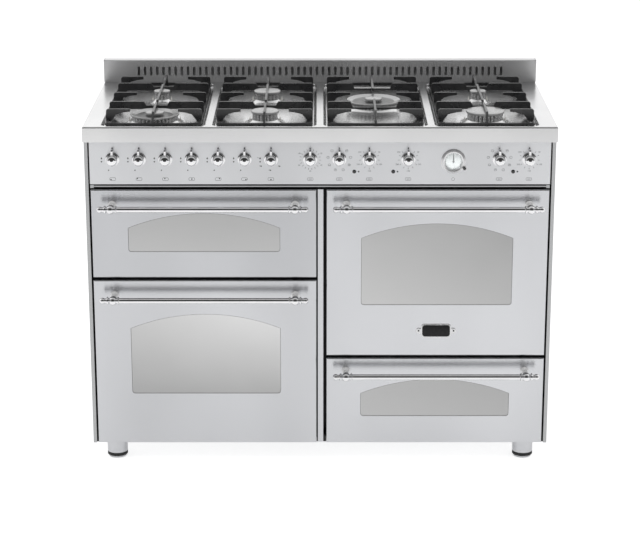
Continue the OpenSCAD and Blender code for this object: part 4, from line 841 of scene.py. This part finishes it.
dark_marks, grey_marks = [], []
for i, x in enumerate(GAS_X):
    dark_marks.append(dot(x, KNOB_Z + MARK_R, 0.0019))
    for z in (0.0020, -0.0062):
        dark_marks.append(dot(x - 0.0278, KNOB_Z + z, 0.0018))
    dark_marks.append(stroke(x - 0.0278, KNOB_Z + 0.0020, 0, 0, 0, 0.0034, 0.0012))
    if i < 6:
        dark_marks.append(dot(x - 0.0105, KNOB_Z - 0.0285, 0.0016))
    else:
        for dx, dz in ((-0.0250, -0.0180), (-0.0015, -0.0288), (0.0218, -0.0182)):
            dark_marks.append(dot(x + dx, KNOB_Z + dz, 0.0016))
            dark_marks.append(stroke(x + dx, KNOB_Z + dz, -0.0046, 0.0008, -0.0004, 0.0008, 0.0014))
        grey_marks.append(stroke(x, KNOB_Z, -0.0355, 0.0050, -0.0305, 0.0036, LINE_T))
BURNER_SPOTS = [
    (-0.0042, -0.0012), (-0.0042, 0.0014), (-0.0014, 0.0014), (0.0, 0.0),
    (0.0034, 0.0014), (0.0034, -0.0012), (0.0, -0.0014),
]
for x, (dx, dz) in zip(GAS_X, BURNER_SPOTS):
    grey_marks += outlined(x - 0.0008, SIGN_Z, 0.0074, 0.0036, LINE_T)
    dark_marks.append(dot(x - 0.0008 + dx, SIGN_Z + dz, 0.0017))
flat = (0.0009, INK_T, 0.0046)
front_y = depth(0) - INK_T / 2
for name, x in ELECTRIC.items():
    x /= 1000
    if "thermostat" in name:
        grey_marks.append(dial_marks(x, front_y, KNOB_Z, 11, 0.0238, 38, 284, flat))
        dark_marks.append(dot(x, KNOB_Z + MARK_R, 0.0018))
        for k, word in enumerate(("50", "100", "150", "200", "250")):
            a = math.radians(52 + k * 64)
            grey_marks.append(lettered(word, x + 0.0312 * math.sin(a), KNOB_Z + 0.0304 * math.cos(a), 0.0056))
    elif "timer" in name:
        grey_marks.append(dial_marks(x, front_y, KNOB_Z, 18, 0.0250, 19, 323, flat))
        dark_marks.append(dot(x, KNOB_Z + MARK_R, 0.0013))
        for k, word in enumerate(("20", "40", "60", "80", "100")):
            a = math.radians(60 + k * 60)
            grey_marks.append(lettered(word, x + 0.0322 * math.sin(a), KNOB_Z + 0.0306 * math.cos(a), 0.0050))
    else:
        dark_marks.append(dot(x, KNOB_Z + MARK_R, 0.0013))
        for k in range(1, 9):
            a = math.radians(40 * k)
            sx, sz = x + MARK_R * math.sin(a), KNOB_Z + MARK_R * math.cos(a)
            grey_marks += outlined(sx, sz, 0.0031, 0.0027, 0.0007)
            if k % 2:
                grey_marks.append(stroke(sx, sz, -0.0019, 0.0009, 0.0019, 0.0009, LINE_T))
            if k % 3 == 0:
                grey_marks.append(stroke(sx, sz, -0.0019, -0.0009, 0.0019, -0.0009, LINE_T))
            if k % 4 == 0:
                grey_marks.append(dot(sx, sz, 0.0007, 8))
    grey_marks += outlined(x, SIGN_Z, 0.0072, 0.0035, LINE_T)
    grey_marks.append(stroke(x, SIGN_Z, -0.0040, 0.0, 0.0040, 0.0, 0.0012))
grey_marks += outlined(0.3378, SIGN_Z, 0.0036, 0.0034, 0.0007)
for x in LAMP_X:
    dark_marks.append(stroke(x, LAMP_Z, 0.0090, 0.0, 0.0128, 0.0, 0.0036))
plain_piece("panel_print_dark", joined(dark_marks), ink, "root")
plain_piece("panel_print_grey", joined(grey_marks), pale_ink, "root")

# The knobs: turned brass, nickel- and chrome-plated, each a stepped ring, a round bulb and a pointer
# tongue in one piece, pushed on to its spindle.
chrome, look = finish("chrome", (0.88, 0.88, 0.89), 1.0, 0.06)
haze = look.noise(130, 3.0)
look.roughened(haze, 0.04, 0.09)
look.mottled(30, 2.0, (0.85, 0.85, 0.86), (0.91, 0.91, 0.92))
satin_chrome, look = finish("satin_chrome", (0.80, 0.80, 0.81), 0.7, 0.22)
haze = look.noise(160, 3.0)
look.roughened(haze, 0.18, 0.28)
look.tinted(haze, (0.76, 0.76, 0.77), (0.84, 0.84, 0.85))
BULB = [(0, 0.3), (17.2, 0.3)] + arc((17.2, 1.1), 0.8, -90, 40, 4) + [(17.3, 1.9), (16.3, 2.2)]
BULB += arc((15.4, 2.3), 0.9, 0, 90, 3)
BULB += [(13.4, 3.3), (12.2, 4.2), (11.6, 5.5), (11.4, 7.5), (11.7, 9.5), (12.4, 11.2)]
BULB += arc((4.6, 18.3), 9.4, -38, 90, 14) + [(3.0, 28.4), (1.6, 29.5), (0, 29.9)]
knob_body = turned(BULB, (0, 0, 0), 48, FORWARD)
TONGUE = (
    (2, 3.4, 24.6, 9), (8, 3.4, 24.2, 8), (11.6, 3.4, 21.0, 7.4), (12.6, 3.4, 18.2, 7.2),
    (13.0, 3.4, 18.1, 7.2), (24.0, 3.4, 18.7, 7.2), (24.4, 3.3, 18.7, 7.2), (26.2, 2.6, 17.9, 8.4),
    (27, 1.4, 16.0, 9.6),
)
TONGUE_ROUND = 0.55
tongue_rows = []
for z, half, front, back in TONGUE:
    row = []
    middle, reach = (front + back) / 2, (front - back) / 2
    for k in range(16):
        a = 2 * math.pi * k / 16
        c, s = math.cos(a), math.sin(a)
        side = half / 1000 * math.copysign(abs(c) ** TONGUE_ROUND, c)
        row.append((side, -(middle + reach * math.copysign(abs(s) ** TONGUE_ROUND, s)) / 1000, z / 1000))
    tongue_rows.append(row)
spindle = turned([(0, -34), (3.6, -34), (4, -33.6), (4, 4), (0, 4)], (0, 0, 0), 24, FORWARD)
knob_mesh = smoothed(joined([knob_body, walled(tongue_rows), spindle]), 38)
for i in range(7):
    ELECTRIC["knob_gas_%d" % (i + 1)] = GAS_X[i] * 1000
for name, x in ELECTRIC.items():
    mesh = knob_mesh.copy()
    mesh.transform(Matrix.Translation((x / 1000, depth(0), KNOB_Z)))
    plain_piece("turned_" + name, mesh, chrome, name, name)

# The clock: a chromed case with a stepped bezel pressed into the panel, a silvered dial, dark hands, a
# flat glass, and the button that sets it.
dress(satin_chrome, "clock_case")
# The setting button is chrome, but it is dressed in the near-black cast-iron enamel: a painted dark
# reflection.
dress(cast_iron, "clock_knob")
CLOCK = (0.3378, 0.824)
silvered, look = finish("silvered_dial", 0.70, 0.9, 0.30)
split = look.add("ShaderNodeSeparateXYZ")
look.join(look.mapped((1, 1, 1), (-CLOCK[0], 0, -CLOCK[1])), split.inputs[0])
ray = look.sum_of("ARCTAN2", split.outputs[2], split.outputs[0])
around = look.add("ShaderNodeCombineXYZ")
look.join(ray, around.inputs[0])
rays = look.noise(26.0, 3.0, 0.7, around.outputs[0])
look.roughened(rays, 0.24, 0.38)
look.tinted(rays, 0.60, 0.78)
DIAL = [(0, 1.02), (22.4, 1.02), (22.6, 1.1), (22.4, 1.22), (0, 1.3)]
dial = turned(DIAL, (CLOCK[0], depth(0), CLOCK[1]), 72, FORWARD)
plain_piece("clock_face", smoothed(dial), silvered, "root")
on_dial = (CLOCK[0], depth(-1.32), CLOCK[1])
hour_marks = dial_marks(*on_dial, 12, 0.0194, 0, 330, (0.0007, 0.0001, 0.0034))
minute_marks = dial_marks(*on_dial, 60, 0.0204, 0, 354, (0.0003, 0.0001, 0.0014))
plain_piece("clock_marks", joined([hour_marks, minute_marks]), pale_ink, "root")
hand_paint = uneven(
    "hand_paint", (0.05, 0.05, 0.055), 0.3, 0.35, 500, 2.0, (0.04, 0.04, 0.045), (0.065, 0.065, 0.07)
)
dress(hand_paint, "minute_hand", "hour_hand")
clear_glass, look = finish("clear_glass", (0.96, 0.98, 0.98), 0.0, 0.02)
look.inputs["Transmission Weight"].default_value = 1.0
look.inputs["IOR"].default_value = 1.45
look.roughened(look.noise(60, 2.0), 0.01, 0.03)
dress(clear_glass, "clock_glass")

# The indicator lamps: small dark lenses of moulded plastic, each with a thin flange, clipped into the
# panel from the front.
lens, look = finish("lamp_lens", (0.018, 0.018, 0.020), 0.0, 0.12)
look.inputs["Coat Weight"].default_value = 0.6
look.mottled(700, 2.0, (0.014, 0.014, 0.016), (0.024, 0.024, 0.027))
LENS_DRAWING = [
    (0, -18), (3.9, -18), (3.9, 0.1), (4.9, 0.1), (5.0, 0.4), (4.7, 0.9), (3.2, 1.25), (1.6, 1.45), (0, 1.5),
]
lenses = [turned(LENS_DRAWING, (x, depth(0), LAMP_Z), 32, FORWARD) for x in LAMP_X]
plain_piece("lamp_lenses", smoothed(joined(lenses), 35), lens, "root", "indicator_lamps")

# The doors and the drawer front: folded stainless shells with an arched window, a mirror-coated pane
# set in a dark bead behind it, and a plain inner panel. The bead's grey is painted shade along the window's
# edge.
# Grey painted shade for the bead round each window.
painted_edge_shade = uneven("painted_edge_shade", 0.30, 0.0, 0.5, 400, 2.0, 0.26, 0.34)


def mirror_pane(name, x, z, across, up, tones):
    """Mirror-coated glass; its film's roughness is a little uneven, and its colour is painted reflection:
    tones are those of the four corners.
    """
    material, look = finish("mirror_" + name, tones[0], 0.92, 0.10)
    look.inputs["Coat Weight"].default_value = 0.5
    look.inputs["Coat Roughness"].default_value = 0.02
    split = look.add("ShaderNodeSeparateXYZ")
    shift = ((across / 2 - x) / across, 0, -z / up)
    look.join(look.mapped((1 / across, 1, 1 / up), shift), split.inputs[0])
    film_and_light_waver = look.noise(6.0, 2.0)
    look.roughened(film_and_light_waver, 0.09, 0.16)
    rows = []
    for left, right in (tones[:2], tones[2:]):
        run = look.sum_of("MULTIPLY", split.outputs[0], right - left)
        rows.append(look.sum_of("ADD", run, left))
    # The painted reflection's grade from bottom to top wavers with the same noise.
    waver = look.sum_of("MULTIPLY", look.sum_of("SUBTRACT", film_and_light_waver, 0.5), 0.3)
    rise = look.sum_of("ADD", split.outputs[2], waver, True)
    high = look.sum_of("MULTIPLY", rows[1], rise)
    low = look.sum_of("MULTIPLY", rows[0], look.sum_of("SUBTRACT", 1.0, rise))
    tone = look.sum_of("ADD", low, high)
    shade = look.add("ShaderNodeCombineXYZ")
    for axis in range(3):
        look.join(tone, shade.inputs[axis])
    look.join(shade.outputs[0], look.inputs["Base Color"])
    return material


# Each pane's painted reflection: tones at its bottom left, bottom right, top left and top right corners.
PANE_PAINTED_LIGHT = {
    "door_top_left": (0.49, 0.47, 0.43, 0.41),
    "door_bottom_left": (0.40, 0.42, 0.58, 0.74),
    "door_right": (0.55, 0.46, 0.44, 0.37),
    "drawer": (0.52, 0.46, 0.47, 0.41),
}
# A darker copy of the front steel, used on the top left door only: painted shade.
shaded_door_steel = brushed("shaded_door_steel", (0.575, 0.582, 0.602), 0.20, "X")
DOORS = {
    "door_top_left": ("top_left", -296.5, 516, 69, 64),
    "door_bottom_left": ("bottom_left", -296.5, 61, 138, 180),
    "door_right": ("right", 300.25, 304, 138, 180),
    "drawer": ("drawer", 300.25, 61, 75, 64),
}
WINDOW_W, WINDOW_RISE = 389.0, 38.5
BEAD_INNER, BEAD_OUTER = -1.1, -0.02


def window_line(side_h, grow, steps=40):
    """Outline of a window in millimetres, from its sill's middle round: flat sill, arched top."""
    half, radius = WINDOW_W / 2 + grow, 8.0 + grow
    line = []
    for cx, start in ((half - radius, 270), (-half + radius, 180)):
        angles = [math.radians(start + 15 * k) for k in range(7)]
        low = -grow + radius
        line.append([(cx + radius * math.cos(a), low + radius * math.sin(a)) for a in angles])
    sweep = (WINDOW_W * WINDOW_W / 4 + WINDOW_RISE * WINDOW_RISE) / (2 * WINDOW_RISE)
    top = side_h + WINDOW_RISE - sweep
    bow = [(half - 2 * half * k / steps) for k in range(steps + 1)]
    crown = [(x, top + math.sqrt((sweep + grow) ** 2 - x * x)) for x in bow]
    return line[0] + crown + line[1]


for body, (key, x, low, sill, side_h) in DOORS.items():
    panel = "drawer_front" if body == "drawer" else "door_panel_" + key
    pane = "drawer_glass" if body == "drawer" else "door_glass_" + key
    dress(shaded_door_steel if key == "top_left" else front_steel, panel)
    sizes = (x / 1000, (low + sill) / 1000, WINDOW_W / 1000, (side_h + WINDOW_RISE) / 1000)
    dress(mirror_pane(key, *sizes, PANE_PAINTED_LIGHT[body]), pane)
    inner, outer = window_line(side_h, BEAD_INNER), window_line(side_h, BEAD_OUTER)
    rows = []
    for line, u in ((outer, 0.5), (inner, 0.9), (inner, 1.49), (outer, 1.49)):
        rows.append([((x + a) / 1000, depth(u), (low + sill + b) / 1000) for a, b in line])
    bead = smoothed(walled(rows, capped=False), 50)
    plain_piece("window_bead_" + key, bead, painted_edge_shade, body)

# The handles: chrome-plated brass rails between two turned brackets, with a ball, rings and a finial
# at each end, screwed on from behind the door skin.
post_nickel, look = finish("post_nickel", 0.88, 0.35, 0.24)
haze = look.noise(160, 3.0)
look.roughened(haze, 0.20, 0.30)
look.tinted(haze, 0.84, 0.92)
BRACKETS_BEGIN = depth(-35)
for name in ("door_handle_top_left", "door_handle_bottom_left", "door_handle_right", "drawer_handle"):
    dress(chrome, name)
    handle_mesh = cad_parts[name].data
    handle_mesh.materials.append(post_nickel)
    for face in handle_mesh.polygons:
        if face.center.y > BRACKETS_BEGIN:
            face.material_index = 1

# The plate on the right oven door: a chromed backplate with two rivets and a plain black enamelled
# field, left bare.
PLATE_X, PLATE_Z = 301, 372


def plate(half_w, half_h, radius, front, back, edge, steps=10):
    """A plate with round corners and a bevelled front edge, round the sign's middle."""
    rows = []
    for inset, u in ((0, back), (0, front + edge), (edge * 0.3, front + edge * 0.3), (edge, front)):
        row = []
        r = max(radius - inset, 0.2)
        w, h = half_w - inset - r, half_h - inset - r
        for cx, cz, start in ((w, h, 0), (-w, h, 90), (-w, -h, 180), (w, -h, 270)):
            for k in range(steps + 1):
                a = math.radians(start + 90 * k / steps)
                side, up = PLATE_X + cx + r * math.cos(a), PLATE_Z + cz + r * math.sin(a)
                row.append((side / 1000, depth(u), up / 1000))
        rows.append(row)
    return walled(rows)


backing = [plate(39.5, 19, 9, -1.2, -0.02, 0.6), plate(52.5, 8, 7.8, -1.0, -0.02, 0.5)]
RIVET = [(0, 0.95), (2.2, 0.95), (2.2, 1.2)] + arc((0.6, 1.15), 1.6, 5, 85, 5) + [(0, 2.75)]
field = [plate(36, 15.5, 7.5, -2.2, -1.1, 0.5)]
for x in (-45.5, 45.5):
    field.append(turned(RIVET, ((PLATE_X + x) / 1000, depth(0), PLATE_Z / 1000), 24, FORWARD))
plain_piece("plate_backing", smoothed(joined(backing), 40), satin_chrome, "door_right")
black_enamel, look = finish("black_enamel", (0.010, 0.010, 0.011), 0.0, 0.30)
look.inputs["Specular IOR Level"].default_value = 0.25
look.mottled(200, 3.0, (0.009, 0.009, 0.010), (0.018, 0.018, 0.019))
plain_piece("plate_field", smoothed(joined(field), 40), black_enamel, "door_right")

# The ovens: liners and fan cover in black speckled enamel, tube elements, plated wire shelves, a woven
# seal round each mouth, and the fan behind the right oven.
oven_enamel, look = finish("oven_enamel", (0.045, 0.047, 0.055), 0.0, 0.20)
SPECKLED = [(0.0, (0.030, 0.032, 0.038)), (0.60, (0.042, 0.044, 0.052))]
SPECKLED += [(0.66, (0.30, 0.31, 0.33)), (1.0, (0.34, 0.35, 0.37))]
look.join(look.ramp(look.noise(700, 2.0), SPECKLED), look.inputs["Base Color"])
look.roughened(look.noise(30, 2.0), 0.15, 0.28)
look.inputs["Coat Weight"].default_value = 0.5
dress(oven_enamel, "oven_liner_top_left", "oven_liner_bottom_left", "oven_liner_right")
element_metal = uneven(
    "element_metal", (0.16, 0.15, 0.15), 0.9, 0.45, 120, 3.0, (0.12, 0.11, 0.11), (0.21, 0.20, 0.20)
)
dress(element_metal, "heating_elements")
dress(chrome, "wire_shelf_top_left", "wire_shelf_bottom_left", "wire_shelf_right")
woven, look = finish("woven_seal", (0.10, 0.10, 0.105), 0.0, 0.85)
braid = look.add("ShaderNodeTexWave", wave_type="BANDS", bands_direction="DIAGONAL")
braid.inputs["Scale"].default_value = 320
look.join(look.coords, braid.inputs["Vector"])
look.tinted(braid.outputs["Fac"], (0.06, 0.06, 0.062), (0.15, 0.15, 0.155))
look.bumped(braid.outputs["Fac"], 0.0003)
dress(woven, "door_seals")
dress(plain_sheet, "convection_fan")

# The gas rail with its taps and pipes, of brass, and the switches, thermostats and fan motor in moulded
# cases, all fixed out of sight behind the panel and the ovens.
brass, look = finish("brass", (0.66, 0.50, 0.24), 1.0, 0.30)
look.roughened(look.noise(200, 3.0), 0.24, 0.42)
look.mottled(35, 3.0, (0.56, 0.42, 0.20), (0.72, 0.56, 0.28))
dress(brass, "gas_manifold")
moulded, look = finish("moulded_plastic", (0.75, 0.74, 0.70), 0.0, 0.5)
look.mottled(60, 3.0, (0.72, 0.71, 0.67), (0.78, 0.77, 0.73))
look.bumped(look.noise(900, 2.0), 0.00005)
dress(moulded, "electrical_units")

# The feet: steel sleeves under the floor tray with a screw foot and a wide sole inside each, and a
# near-black ring between the two, which is painted shade where the feet darken towards the floor.
# Near-black painted shade for the ring round each foot.
painted_foot_shade = uneven("painted_foot_shade", 0.03, 0.0, 0.55, 500, 2.0, 0.02, 0.05)
dress(front_steel, "feet")
FOOT_RING = [(22, 5.8), (26.8, 5.8), (27.0, 6.2), (27.0, 10.8), (26.7, 11.2), (25.6, 11.4)]
FOOT_RING += [(25.6, 15.0), (22, 15.0), (22, 5.8)]
foot_rings = [turned(FOOT_RING, (x / 1000, depth(u), 0), 48) for x in (-541, 541) for u in (68, 500)]
plain_piece("foot_rings", smoothed(joined(foot_rings), 40), painted_foot_shade, "root")
